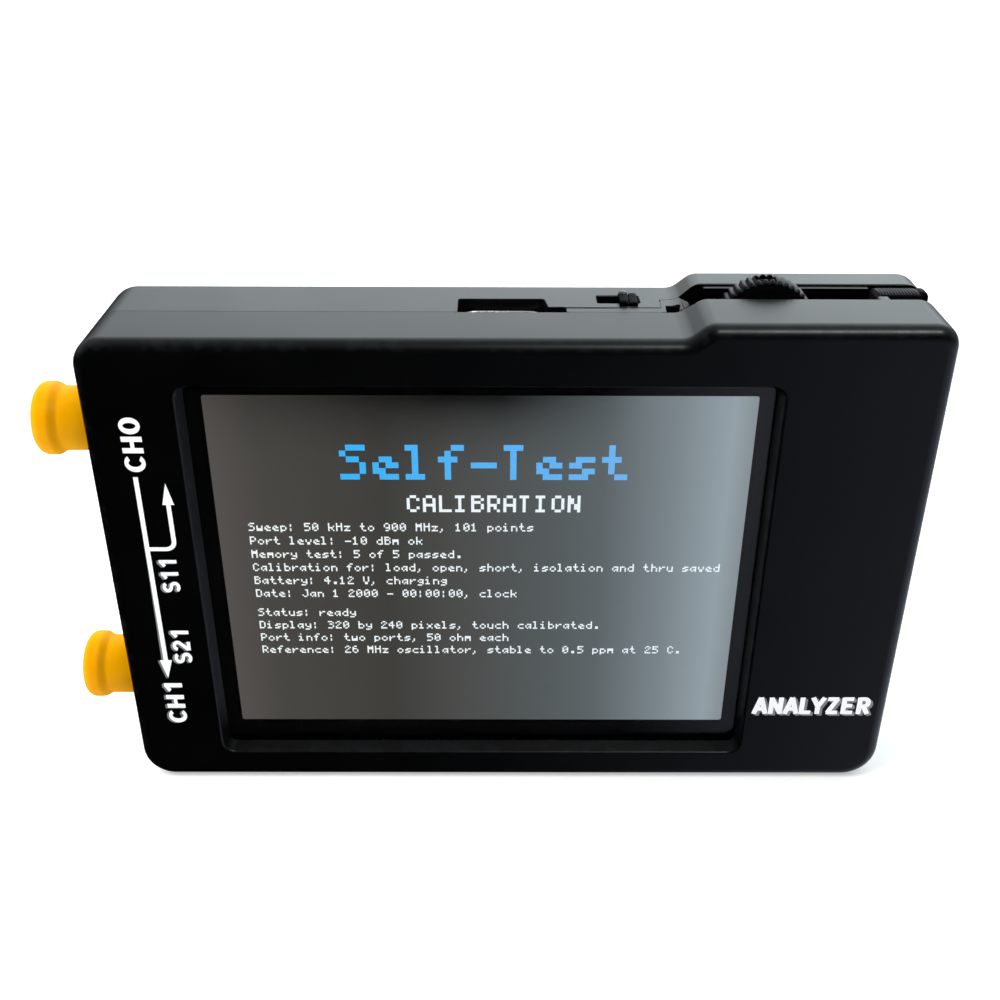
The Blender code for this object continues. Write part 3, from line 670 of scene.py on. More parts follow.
def shell(name, face, fillet, rim, lap_inset, look, window):
    """One half of the case, as a tray with a rounded face, an eased rim and the step of the lap joint."""
    way = 1 if rim > face else -1
    rings = [case_ring(inset, face + way * depth) for inset, depth in eased_quarter(fillet, FILLET_STEPS)]
    ease = 0.03
    lap_end = rim + LAP_HEIGHT
    floor_y = face + way * FACE_WALL
    for inset, y in ((0.0, rim - way * ease), (ease * 0.7, rim), (lap_inset, rim), (lap_inset, lap_end),
                     (SIDE_WALL, lap_end), (SIDE_WALL, floor_y)):
        rings.append(case_ring(inset, y))
    bm = bmesh.new()
    loops = skin(bm, rings, start=not window, end=not window)
    if window:
        outline = rectangle(WINDOW_LOW, WINDOW_HIGH, WINDOW_CORNER)
        levels = [(WINDOW_SLOPE * 0.3 - inset, face + way * depth) for inset, depth in eased_quarter(0.3, 4)]
        levels.append((WINDOW_SLOPE * FACE_WALL, floor_y))
        tunnel = skin(bm, [flat_ring(outline, inset, y, CORNER_STEPS) for inset, y in levels], False, False)
        fill_between(bm, loops[0], tunnel[0])
        fill_between(bm, loops[-1], tunnel[-1])
    return mesh_object(name, bm, look)


def port_drills(name):
    """Holes for the two ports, with the rim of each eased."""
    hole = 3.4
    ease = 0.2
    side = -HALF_WIDTH
    profile = ((side - 2, hole + ease), (side, hole + ease), (side + ease, hole), (side + 2.4, hole))
    return turned(name, "X", PORTS, profile)


def front_shell():
    rim = SEAM_Y - SEAM / 2
    made = shell("front_case_shell", FACE_Y, FRONT_FILLET, rim, SIDE_WALL - LAP_WALL, FRONT_CASE, window=True)
    inner = FACE_Y + FACE_WALL
    boss_end = 2.3
    boss = ((inner - 0.8, 2.6), (inner + 0.6, 2.4), (boss_end - 0.2, 2.4), (boss_end, 2.2))
    pilot = ((inner + 1.2, 1.15), (boss_end - 0.3, 1.15), (boss_end + 1, 1.9))
    slot_front = (
        (19.3, WHEEL_SLOT_Y[0], 0.4),
        (PAST_SIDE, WHEEL_SLOT_Y[0], 0.1),
        (PAST_SIDE, 3.0, 0.1),
        (16.0, 3.0, 0.1),
        (16.0, rim - 0.1, 0.05),
        (18.6, rim - 0.1, 0.3),
    )
    combine(made, "UNION", posts("front_bosses", boss))
    combine(
        made,
        "DIFFERENCE",
        block("usb_lip", (-6.5, rim - 0.1, 55.0), (6.0, 3.0, PAST_TOP)),
        plan_prism("wheel_lip", slot_front, 51.5, PAST_TOP),
        posts("pilots", pilot),
        port_drills("front_drills"),
    )
    combine(
        made,
        "UNION",
        block("strap_lug", (39.15, -2.0, 57.0), (40.5, 1.6, RAISED_TOP - 0.05), None, 0.3, 3),
        block("strap_lug_step", (40.3, -2.0, 57.0), (41.8, 1.5, RAISED_TOP - 0.5), None, 0.25, 3),
    )
    mark_worn_edges(made)
    finish_edges(made)
    place(made, "case", "case_plastic", "front_shell")


# Openings in the top of the back shell, as (x, y, corner radius) plans
WHEEL_PLAN = (
    (19.0, -1.0, 0.1),
    (PAST_SIDE, -1.0, 0.1),
    (PAST_SIDE, WHEEL_SLOT_Y[1], 0.1),
    (20.3, WHEEL_SLOT_Y[1], 0.5),
    (18.2, 4.7, 0.2),
    (18.85, 1.9, 0.3),
)
FOOT_PLAN = ((16.4, -1.0, 0.1), (17.5, -1.0, 0.1), (18.15, 2.3, 0.2), (17.9, 2.75, 0.2), (16.65, 2.75, 0.15))
LINE_PLAN = ((15.98, 2.1, 0.03), (16.1, 2.1, 0.03), (16.22, 4.5, 0.1), (18.3, 4.6, 0.03), (18.3, 4.7, 0.03),
             (16.1, 4.6, 0.2))
USB_PLAN = ((-6.1, -1.0, 0.1), (3.9, -1.0, 0.1), (3.9, 1.4, 0.3), (3.4, 4.8, 0.35), (-6.1, 4.8, 0.35))
# Name, plan, floor of the cut, the surface that it opens in, and the ease of its edge
TOP_CUTS = (
    ("usb_cut", USB_PLAN, 55.0, LOW_TOP, 0.06),
    ("step_cut", rectangle((3.5, -1.0), (5.7, 2.3), 0.35), 57.5, LOW_TOP, 0.06),
    ("lever_cut", rectangle((9.25, 3.5), (13.9, 5.9), 0.25), 55.0, LOW_TOP, 0.1),
    ("groove_cut", rectangle((5.2, 1.98), (16.1, 2.2), 0.05), 58.0, LOW_TOP, 0.03),
    ("groove_wide_cut", rectangle((5.2, 1.88), (11.2, 2.2), 0.05), 58.0, LOW_TOP, 0.03),
    ("line_cut", LINE_PLAN, 58.4, None, 0.0),
    ("foot_cut", FOOT_PLAN, 57.3, LOW_TOP, 0.05),
    ("wheel_cut", WHEEL_PLAN, 52.0, RAISED_TOP, 0.1),
)


def back_shell():
    lap = SIDE_WALL - LAP_WALL - LAP_GAP
    made = shell("back_case_shell", BACK_Y, BACK_FILLET, SEAM_Y + SEAM / 2, lap, BACK_CASE, window=False)
    cuts = [plan_prism(name, plan, low, PAST_TOP, top, ease) for name, plan, low, top, ease in TOP_CUTS]
    combine(made, "DIFFERENCE", *cuts, port_drills("back_drills"))
    inner = BACK_Y - FACE_WALL
    boss = ((2.6, 2.2), (2.8, 2.4), (inner - 0.6, 2.4), (inner + 0.8, 2.6))
    wall = WHEEL_SLOT_Y[1]
    combine(
        made,
        "UNION",
        posts("back_bosses", boss),
        block("slot_lip", (20.9, wall - 0.7, 59.35), (39.1, wall + 0.4, 59.95), None, 0.1),
        block("strap_bar_core", (39.5, 2.8, 56.3), (44.6, inner + 0.4, 59.2), None, 0.25, 3),
    )
    hole = 2.05
    bore = ((HEAD_SEAT_Y, hole), (BACK_Y - 0.2, hole), (BACK_Y, hole + 0.2), (BACK_Y + 1, hole + 0.2))
    clearance = ((1.5, 1.25), (BACK_Y + 1, 1.25))
    combine(made, "DIFFERENCE", posts("screw_holes", clearance), posts("counterbores", bore, 40))
    mark_worn_edges(made)
    finish_edges(made)
    place(made, "case", "case_plastic", "back_shell")
    strap_bar()


def strap_bar():
    """The bar beside the strap slot: a rounded rail with slanting grip ridges along its top."""
    low_x, high_x = 39.4, 44.5
    middle_y, half_width = 3.88, 1.15
    shoulder_z, foot_z = 59.2, 57.2
    crown, ridge, slant = 0.78, 0.07, 0.22
    ridges = 15
    steps = 150
    rings = []
    for k in range(steps + 1):
        share = k / steps
        x = low_x + (high_x - low_x) * share
        end = 1 - max(0.0, 1 - share / 0.10) ** 2 - max(0.0, (share - 0.90) / 0.10) ** 2
        tooth = abs((share * ridges) % 1.0 - 0.5) * 2
        ring = []
        for j in range(9):
            turn = math.pi * j / 8
            swell = math.sin(turn) ** 0.4 if 0 < j < 8 else 0.0
            z = shoulder_z + (crown + ridge * tooth) * swell * (0.35 + 0.65 * end)
            ring.append((x + slant * math.cos(turn), middle_y - half_width * math.cos(turn), z))
        ring += [(x, middle_y + half_width, foot_z), (x, middle_y - half_width, foot_z)]
        rings.append(ring)
    place(skinned("strap_bar", rings, GRIP, 30), "case", "case_plastic")
    corner_high = (HALF_WIDTH - 0.3, WHEEL_SLOT_Y[1] - 0.02, RAISED_TOP - 0.2)
    corner = block("strap_bar_end", (43.9, 2.75, 56.3), corner_high, LEVER, 0.7, 5)
    place(corner, "case", "case_plastic")


# ---------------------------------------------------------------- fasteners


def screws():
    """Pan-head screws with a rolled thread and a cross recess."""
    steps = 32
    pitch = 0.8
    core, crest = 0.72, 0.23
    tip_length = 0.9
    head_radius, head_height, dome = 1.75, 1.3, 0.65
    for i, spot in enumerate(SCREWS):
        low, high = box(f"case_screw_{i}")
        seat = high.y - head_height
        start = low.y + tip_length
        rings = [circle("Y", spot, low.y, 0.12, steps), circle("Y", spot, start, 0.7, steps)]
        for k in range(1, 73):
            y = start + (seat - start) * k / 72
            ring = []
            for j in range(steps):
                phase = ((y - low.y) / pitch - j / steps) % 1.0
                radius = core + crest * max(0.0, 1 - abs(phase - 0.5) * 4)
                u, v = polar(radius, 2 * math.pi * j / steps)
                ring.append((spot.x + u, y, spot.z + v))
            rings.append(ring)
        head = [(seat, head_radius), (high.y - dome, head_radius)]
        for k in range(1, 6):
            turn = math.pi / 2 * k / 5
            head.append((high.y - dome + dome * math.sin(turn), head_radius - 0.75 * (1 - math.cos(turn))))
        rings += [circle("Y", spot, y, r, steps) for y, r in head]
        made = skinned(f"pan_head_screw_{i}", rings, SCREW_STEEL)
        combine(made, "DIFFERENCE", cross_recess(f"recess_{i}", spot, high.y))
        finish_edges(made, 40)
        place(made, "case", "screw_steel", f"case_screw_{i}")


def cross_recess(name, spot, top):
    """A tapered cross, one closed star-shaped cutter."""
    rings = []
    for depth, size in ((0.95, 0.35), (-0.3, 1.0)):
        arm = 1.05 * size
        half = 0.24 * (0.6 + 0.4 * size)
        star = []
        for quarter in range(4):
            for corner in (Vector((half, half)), Vector((arm, half)), Vector((arm, -half))):
                corner.rotate(Matrix.Rotation(-math.pi / 2 * quarter, 2))
                star.append((spot.x + corner.x, top - depth, spot.z + corner.y))
        rings.append(star)
    return skinned(name, rings)


# ---------------------------------------------------------------- display

# Each letter is seven rows of four pixels, from the top of a capital to one row below the line
FONT = {
    "A": ".##. #..# #..# #### #..# #..# ....",
    "B": "###. #..# ###. #..# #..# ###. ....",
    "C": ".##. #..# #... #... #..# .##. ....",
    "D": "###. #..# #..# #..# #..# ###. ....",
    "H": "#..# #..# #### #..# #..# #..# ....",
    "I": "###. .#.. .#.. .#.. .#.. ###. ....",
    "J": "..## ...# ...# ...# #..# .##. ....",
    "L": "#... #... #... #... #... #### ....",
    "M": "#..# #### #### #..# #..# #..# ....",
    "N": "#..# ##.# ##.# #.## #.## #..# ....",
    "O": ".##. #..# #..# #..# #..# .##. ....",
    "P": "###. #..# #..# ###. #... #... ....",
    "R": "###. #..# #..# ###. #.#. #..# ....",
    "S": ".### #... .##. ...# ...# ###. ....",
    "T": "###. .#.. .#.. .#.. .#.. .#.. ....",
    "V": "#..# #..# #..# #..# .##. .##. ....",
    "a": ".... .... .### #..# #.## .#.# ....",
    "b": "#... #... ###. #..# #..# ###. ....",
    "c": ".... .... .### #... #... .### ....",
    "d": "...# ...# .### #..# #..# .### ....",
    "e": ".... .... .##. #.## ##.. .### ....",
    "f": "..## .#.. ###. .#.. .#.. .#.. ....",
    "g": ".... .... .### #..# .### ...# ###.",
    "h": "#... #... ###. #..# #..# #..# ....",
    "i": ".#.. .... ##.. .#.. .#.. ###. ....",
    "k": "#... #... #..# ###. #.#. #..# ....",
    "l": "##.. .#.. .#.. .#.. .#.. ###. ....",
    "m": ".... .... #### #### #..# #..# ....",
    "n": ".... .... ###. #..# #..# #..# ....",
    "o": ".... .... .##. #..# #..# .##. ....",
    "p": ".... .... ###. #..# #..# ###. #...",
    "r": ".... .... #.## ##.. #... #... ....",
    "s": ".... .... .### ##.. ..## ###. ....",
    "t": ".#.. .#.. ###. .#.. .#.. ..## ....",
    "u": ".... .... #..# #..# #..# .### ....",
    "v": ".... .... #..# #..# .##. .##. ....",
    "w": ".... .... #..# #..# #### #### ....",
    "x": ".... .... #..# .##. .##. #..# ....",
    "y": ".... .... #..# #..# .### ...# ###.",
    "z": ".... .... #### ..#. .#.. #### ....",
    "0": ".##. #..# #.## ##.# #..# .##. ....",
    "1": ".#.. ##.. .#.. .#.. .#.. ###. ....",
    "2": ".##. #..# ..#. .#.. #... #### ....",
    "3": "###. ...# .##. ...# ...# ###. ....",
    "4": "..#. .##. #.#. #### ..#. ..#. ....",
    "5": "#### #... ###. ...# ...# ###. ....",
    "6": ".##. #... ###. #..# #..# .##. ....",
    "9": ".##. #..# #..# .### ...# .##. ....",
    ":": ".... .#.. .#.. .... .#.. .#.. ....",
    ",": ".... .... .... .... .#.. .#.. #...",
    ".": ".... .... .... .... .##. .##. ....",
    "-": ".... .... .... #### .... .... ....",
    " ": ".... .... .... .... .... .... ....",
}
TITLE = ("Self-Test", 75, 54, 4)
# Words, first column and base line in display pixels, and size
READOUT = (
    ("CALIBRATION", 115, 77, 2),
    ("Sweep: 50 kHz to 900 MHz, 101 points", 15, 91, 1),
    ("Port level: -10 dBm ok", 15, 101, 1),
    ("Memory test: 5 of 5 passed.", 15, 111, 1),
    ("Calibration for: load, open, short, isolation and thru saved", 15, 121, 1),
    ("Battery: 4.12 V, charging", 15, 131, 1),
    ("Date: Jan 1 2000 - 00:00:00, clock", 15, 141, 1),
    ("Status: ready", 15, 156, 1),
    ("Display: 320 by 240 pixels, touch calibrated.", 15, 166, 1),
    ("Port info: two ports, 50 ohm each", 15, 176, 1),
    ("Reference: 26 MHz oscillator, stable to 0.5 ppm at 25 C.", 15, 186, 1),
)


def pixel_runs(words, column, base, size):
    """Lit runs (first column, end column, row) of a line of text, in display pixels."""
    for place_in_line, letter in enumerate(words):
        left = column + place_in_line * 5 * size
        for row, cells in enumerate(FONT[letter].split()):
            start = None
            for k, cell in enumerate(cells + "."):
                if cell == "#" and start is None:
                    start = k
                if cell != "#" and start is not None:
                    for line in range(size):
                        yield left + start * size, left + k * size, base - (6 - row) * size + line
                    start = None


def display_text(name, lines, material):
    """Thin raised strips, one for each lit run of pixels."""
    back = box("lcd_panel")[0].y - 0.03
    bm = bmesh.new()
    for words, column, base, size in lines:
        for first, last, row in pixel_runs(words, column, base, size):
            low_x = SCREEN.x + (first - 160) * PIXEL
            high_x = SCREEN.x + (last - 160) * PIXEL
            top = SCREEN.z - (row - 120) * PIXEL
            low = (low_x + 0.01, back - 0.02, top - PIXEL + 0.015)
            add_block(bm, low, (high_x - 0.01, back, top))
    place(mesh_object(name, bm, material), "case", "display")


def display():
    """The lit area of the panel, the words on it and the black tape round it."""
    low, high = box("lcd_panel")
    lit = rectangle(LIT_LOW, LIT_HIGH, 0.3)
    area = skinned("lit_display_area", [flat_ring(lit, 0.0, low.y - depth) for depth in (0.02, 0.002)], GLOW_AND_PAINTED_REFLECTION)
    place(area, "case", "display")
    display_text("display_title", [TITLE], BLUE_PIXELS)
    display_text("display_readout", READOUT, WHITE_PIXELS)
    outer = rectangle((low.x + 0.2, low.z + 0.2), (high.x - 0.2, high.z - 0.2), 0.8)
    levels = ((outer, 0.0, 0.002), (outer, 0.0, 0.07), (outer, 0.06, 0.12),
              (lit, -0.06, 0.12), (lit, -0.01, 0.07), (lit, -0.01, 0.002))
    rings = [flat_ring(outline, inset, low.y - height) for outline, inset, height in levels]
    place(hoop("display_border_tape", rings, BLACK_TAPE), "case", "display")


# ---------------------------------------------------------------- print on the front


# Centre lines of plain sans-serif capitals and figures, on a body one unit high and 0.62 wide
STROKES = {
    "A": [[(0.05, 0.0), (0.31, 1.0)], [(0.57, 0.0), (0.31, 1.0)], [(0.14, 0.31), (0.48, 0.31)]],
    "C": [bow(0.33, 0.5, 0.24, 0.41, 42, 318, 20)],
    "E": [[(0.12, 0.0), (0.12, 1.0)], [(0.1, 0.91), (0.54, 0.91)], [(0.1, 0.51), (0.50, 0.51)],
          [(0.1, 0.09), (0.55, 0.09)]],
    "H": [[(0.10, 0.0), (0.10, 1.0)], [(0.52, 0.0), (0.52, 1.0)], [(0.1, 0.5), (0.52, 0.5)]],
    "L": [[(0.12, 0.0), (0.12, 1.0)], [(0.1, 0.09), (0.54, 0.09)]],
    "N": [[(0.10, 0.0), (0.10, 1.0)], [(0.52, 0.0), (0.52, 1.0)], [(0.10, 0.93), (0.52, 0.07)]],
    "R": [[(0.12, 0.0), (0.12, 1.0)], [(0.1, 0.91), *bow(0.33, 0.69, 0.17, 0.22, 90, -90), (0.1, 0.47)],
          [(0.32, 0.45), (0.53, 0.0)]],
    "S": [bow(0.31, 0.715, 0.21, 0.20, 25, 250, 14) + bow(0.31, 0.295, 0.22, 0.21, 72, -155, 14)],
    "Y": [[(0.05, 1.0), (0.31, 0.45)], [(0.57, 1.0), (0.31, 0.45)], [(0.31, 0.5), (0.31, 0.0)]],
    "Z": [[(0.07, 0.91), (0.56, 0.91)], [(0.50, 0.91), (0.12, 0.09)], [(0.05, 0.09), (0.57, 0.09)]],
    "0": [bow(0.31, 0.5, 0.21, 0.41, 0, 360, 28)],
    "1": [[(0.38, 0.0), (0.38, 1.0)], [(0.40, 0.93), (0.12, 0.70)]],
    "2": [bow(0.31, 0.70, 0.20, 0.21, 168, -32, 12) + [(0.10, 0.12)], [(0.06, 0.09), (0.54, 0.09)]],
}
ADVANCE = 0.70
# Pairs of letters that sit closer than the rest
KERNING = {"LY": 0.17, "AL": 0.03, "YZ": 0.04}


def letter_places(words):
    places = [0.0]
    for pair in zip(words, words[1:]):
        places.append(places[-1] + ADVANCE - KERNING.get("".join(pair), 0.0))
    return places


def ribbon(points, width):
    """The outline of a line of the given width through the points."""
    points = [Vector(point) for point in points]
    ways = [(after - here).normalized() for here, after in zip(points, points[1:])]
    left, right = [], []
    for here, way_in, way_out in zip(points, [ways[0], *ways], [*ways, ways[-1]]):
        across = Vector((-(way_in + way_out).y, (way_in + way_out).x)).normalized()
        reach = width / 2 / max(0.5, across.dot(Vector((-way_in.y, way_in.x))))
        left.append(here + across * reach)
        right.append(here - across * reach)
    return left, right


def lettering(bm, words, weight, fit, front):
    """Adds the words as thin prisms; fit turns letter units into (x, z) on the front."""
    for start, letter in zip(letter_places(words), words):
        for order, line in enumerate(STROKES[letter]):
            left, right = ribbon([(u + start, v) for u, v in line], weight)
            y = front + 0.0015 * order
            rings = []
            for a, b in zip(left, right):
                (ax, az), (bx, bz) = fit(a), fit(b)
                rings.append([(ax, y, az), (bx, y, bz), (bx, PRINT_BACK, bz), (ax, PRINT_BACK, az)])
            skin(bm, rings)


def printed(name, words, low, high, upright, weight=0.19, shadow=None):
    """Printed words that fill the (x, z) box on the front, reading across, or upwards if not upright; with a
    shadow, grey copies behind them make a painted shadow.
    """
    wide = letter_places(words)[-1] + 0.62

    def fit(point, dx=0.0, dz=0.0):
        across = point[0] / wide
        up = point[1]
        if upright:
            return (low[0] + across * (high[0] - low[0]) + dx, low[1] + up * (high[1] - low[1]) + dz)
        return (high[0] - up * (high[0] - low[0]) + dx, low[1] + across * (high[1] - low[1]) + dz)

    bm = bmesh.new()
    lettering(bm, words, weight, fit, PRINT_Y)
    place(mesh_object(name, bm, WHITE_INK_WITH_PAINTED_GLOW), "case", "case_plastic")
    # Painted shadow: grey copies of the words, offset along the shadow
    if shadow:
        bm = bmesh.new()
        for step in (1, 2):
            dx, dz = shadow[0] * step / 2, shadow[1] * step / 2
            lettering(bm, words, weight, lambda p: fit(p, dx, dz), PRINT_Y + 0.005 + 0.005 * step)
        place(mesh_object(f"{name}_shade", bm, PAINTED_SHADOW_INK), "case", "case_plastic")


def front_print():
    shade = (-0.26, -0.10)
    printed("label_port_0", "CH0", (-41.7, 43.5), (-39.45, 50.0), upright=False)
    printed("label_reflect", "S11", (-39.75, 27.9), (-37.77, 32.6), upright=False, shadow=shade)
    printed("label_through", "S21", (-39.7, 17.8), (-37.65, 22.9), upright=False, shadow=shade)
    printed("label_port_1", "CH1", (-41.5, 8.85), (-39.35, 15.3), upright=False, shadow=shade)
    printed("label_device", "ANALYZER", (29.35, 10.3), (43.5, 12.8), upright=True, weight=0.22,
            shadow=(0.34, -0.26))
    arrows()


def arrows():
    """The signal path between the ports: a long line with an arrowhead, and a branch that turns back."""
    line_x, half = -40.8, 0.26
    tip_z, neck_z, end_z = 15.6, 18.26, 42.85
    path = [(line_x - half, neck_z), (line_x - 0.71, neck_z), (line_x - 0.05, tip_z), (line_x + 0.71, neck_z),
            (line_x + half, neck_z), (line_x + half, end_z), (line_x - half, end_z)]
    place(prism("arrow_through", path, PRINT_Y, WHITE_INK_WITH_PAINTED_GLOW), "case", "case_plastic")
    # Painted shadow: a grey copy of the line, offset down and to the left
    shade_end = 36.0
    shaded = [(x - 0.24, z - 0.1) for x, z in path[:5]]
    shaded += [(line_x + half - 0.24, shade_end), (line_x - half, shade_end)]
    place(prism("arrow_through_shade", shaded, PRINT_Y + 0.01, PAINTED_SHADOW_INK), "case", "case_plastic")
    branch_x, foot_z, half, outer = -37.7, 33.7, 0.25, 1.25
    neck_z, tip_z = 39.4, 42.1
    inner = outer - 2 * half
    bend = (branch_x + half - outer, foot_z - half + outer)
    start = line_x + 0.21
    outline = [(start, foot_z - half), *bow(*bend, outer, outer, -90, 0, 8)]
    outline += [(branch_x + half, neck_z), (branch_x + 0.65, neck_z), (branch_x, tip_z)]
    outline += [(branch_x - 0.65, neck_z), (branch_x - half, neck_z), *bow(*bend, inner, inner, 0, -90, 8)]
    outline.append((start, foot_z + half))
    place(prism("arrow_reflect", outline, PRINT_Y + 0.003, WHITE_INK_WITH_PAINTED_GLOW), "case", "case_plastic")


# ---------------------------------------------------------------- RF ports


def port_body(i, spot):
    """Edge-mounted jack: square flange, threaded barrel and four legs that straddle the board."""
    flange_back, flange_front, half = -42.45, -43.65, 3.15
    made = block(f"sma_jack_{i}", (flange_front, spot.y - half, spot.z - half),
                 (flange_back, spot.y + half, spot.z + half), GOLD, 0.2, 3)
    pitch = 0.7056
    thread_depth = 0.38
    crest_radius, neck_radius = 3.1, 2.72
    start = box(f"sma_body_{i}")[0].x
    end = flange_front + 0.5
    thread_end = flange_front - 1.6
    steps = 64
    count = 96
    rings = []
    for k in range(count + 1):
        x = start + (end - start) * k / count
        fade = min(1.0, max(0.0, (x - start) / 0.5)) * min(1.0, max(0.0, (thread_end - x) / 0.3))
        outer = neck_radius if x > thread_end else crest_radius - 0.3 * max(0.0, 1 - (x - start) / 0.35)
        ring = []
        for j in range(steps):
            phase = ((x - start) / pitch + j / steps) % 1.0
            crest = 1 - abs(phase - 0.5) * 2
            u, v = polar(outer - thread_depth * (1 - min(1.0, crest * 1.25)) * fade, 2 * math.pi * j / steps)
            ring.append((x, spot.y + u, spot.z + v))
        rings.append(ring)
    legs = bmesh.new()
    leg = 0.45
    for y in (BOARD_LOW.y - 1.2, BOARD_HIGH.y + 0.3):
        for z in (spot.z - 2.6, spot.z + 2.6):
            add_block(legs, (flange_back - 0.5, y, z - leg), (-38.4, y + 2 * leg, z + leg))
    combine(made, "UNION", skinned(f"barrel_{i}", rings), mesh_object(f"legs_{i}", legs))
    bore = ((start - 1, 2.45), (start, 2.45), (start + 0.2, 2.3), (-41.0, 2.3))
    combine(made, "DIFFERENCE", turned(f"bore_{i}", "X", [spot], bore))
    finish_edges(made, 30)
    place(made, "case", "gold_plate", f"sma_body_{i}")


def dust_cap(i, body):
    """A push-on cap: a soft cup that swells into a thick rounded lip at its closed end, with a gate mark."""
    low, high = box(f"dust_cap_{i}")
    lip_radius = (high.y - low.y) / 2
    body_radius, bore = 3.65, 3.3
    closed_x, open_x = low.x, high.x
    inside = closed_x + 0.8
    profile = [(inside, 0.02), (inside, bore - 0.3), (inside + 0.3, bore), (open_x - 0.15, bore)]
    profile += [(open_x, bore + 0.12), (open_x, body_radius - 0.15), (open_x - 0.15, body_radius)]
    foot = closed_x + 2.35
    swell = 1.3
    for k in range(13):
        share = k / 12
        rise = share * share * (3 - 2 * share)
        profile.append((foot + swell * (0.6 - share), body_radius + (lip_radius - body_radius) * rise))
    for k in range(11):
        turn = math.pi / 2 * k / 10
        profile.append((closed_x + 1.15 * (1 - math.sin(turn)), lip_radius - 1.15 * (1 - math.cos(turn))))
    profile += [(closed_x, 1.6), (closed_x + 0.02, 1.0), (closed_x + 0.12, 0.85), (closed_x + 0.12, 0.02)]
    made = turned(f"yellow_dust_cap_{i}", "X", [(low + high) / 2], profile, VINYL, 72, 50)
    place(made, body, "yellow_vinyl", f"dust_cap_{i}")


# ---------------------------------------------------------------- USB socket and power switch


def stadium(middle, half_width, half_height, z, steps=12):
    """A ring with straight sides and round ends."""
    points = []
    for end in (1, -1):
        for k in range(steps + 1):
            u, v = polar(half_height, -math.pi / 2 + math.pi * k / steps)
            points.append((middle.x + end * (half_width - half_height + u), middle.y + end * v, z))
    return points


def usb_socket():
    """The rolled metal shell, and twelve gold contacts on each side of the tongue."""
    low, high = box("usb_shell")
    middle, half = (low + high) / 2, (high - low) / 2
    wall = 0.3
    levels = ((0.0, low.z), (0.0, high.z - 0.12), (0.04, high.z - 0.03), (0.12, high.z), (wall - 0.1, high.z),
              (wall, high.z - 0.1), (wall, low.z + 0.5))
    rings = [stadium(middle, half.x - inset, half.y - inset, z) for inset, z in levels]
    place(skinned("usb_socket_shell", rings, STEEL, 40), "case", "bright_steel", "usb_shell")
    low, high = box("usb_tongue")
    bm = bmesh.new()
    for side in (-1, 1):
        face = middle.y + side * (high.y - low.y) / 2
        front, back = sorted((face - side * 0.02, face + side * 0.03))
        for k in range(12):
            x = middle.x + (k - 5.5) * 0.5
            add_block(bm, (x - 0.13, front, low.z + 1.5), (x + 0.13, back, high.z - 0.5))
    place(mesh_object("usb_contacts", bm, GOLD), "case", "gold_plate")


# Ribs of the nub: left and right end as shares of its width, and height as a share of the tallest
RIBS = ((0.52, 1.0, 0.55), (0.0, 0.46, 0.75))
# Section of a rib from right to left, and how the ribs rise from the front to the back
RIB_CROWN = ((1.0, 0.45), (0.95, 0.78), (0.78, 1.0), (0.25, 1.0), (0.07, 0.85), (0.0, 0.45))
RIB_RISE = ((0.0, 0.42), (0.04, 0.58), (0.15, 0.66), (0.45, 0.78), (0.75, 0.95), (0.88, 1.0), (0.96, 0.9),
            (1.0, 0.6))


def power_lever():
    """The sliding lever: a stem in the slot under a nub with two ribs that rise to the back."""
    low, high = box("power_switch_lever")
    base = LOW_TOP + 0.06
    front = low.y - 0.25
    rings = []
    for along, rise in RIB_RISE:
        y = front + along * (high.y - front)
        ring = [(low.x, y, base), (high.x, y, base)]
        for left, right, tall in RIBS:
            for share, height in RIB_CROWN:
                x = low.x + (left + share * (right - left)) * (high.x - low.x)
                ring.append((x, y, base + rise * height * tall * (high.z - base)))
        rings.append(ring)
    made = skinned("power_lever_nub", rings, LEVER)
    stem = block("lever_stem", (low.x + 0.2, 3.9, low.z), (high.x - 0.2, 5.2, base + 0.25))
    combine(made, "UNION", stem)
    finish_edges(made, 40)
    place(made, "power_lever", "switch_plastic", "power_switch_lever")
    lever_bead(Vector((low.x + 0.52, high.y - 0.48, high.z - 0.40)))


def lever_bead(centre):
    """The rounded end of the taller rib, polished by use."""
    bm = bmesh.new()
    bmesh.ops.create_uvsphere(bm, u_segments=24, v_segments=14, radius=1.0)
    for vert in bm.verts:
        bulge = 1.0 + 0.12 * vert.co.y
        vert.co = centre + Vector((0.48 * vert.co.x * bulge, 0.46 * vert.co.y, 0.34 * vert.co.z * bulge))
    place(mesh_object("lever_bead", bm, POLISHED), "power_lever", "switch_plastic")


# ---------------------------------------------------------------- jog wheel

TEETH = 44
TOOTH_STEPS = 8
TOOTH_DEPTH = 0.32


def wheel_ring(y, root, tip):
    """The toothed outline of the wheel, with rounded crests and narrow valleys."""
    points = []
    for k in range(TEETH * TOOTH_STEPS):
        wave = 0.5 - 0.5 * math.cos(2 * math.pi * (k % TOOTH_STEPS) / TOOTH_STEPS)
        u, v = polar(root + (tip - root) * wave ** 0.5, 2 * math.pi * k / (TEETH * TOOTH_STEPS))
        points.append((WHEEL.x + u, y, WHEEL.z + v))
    return points


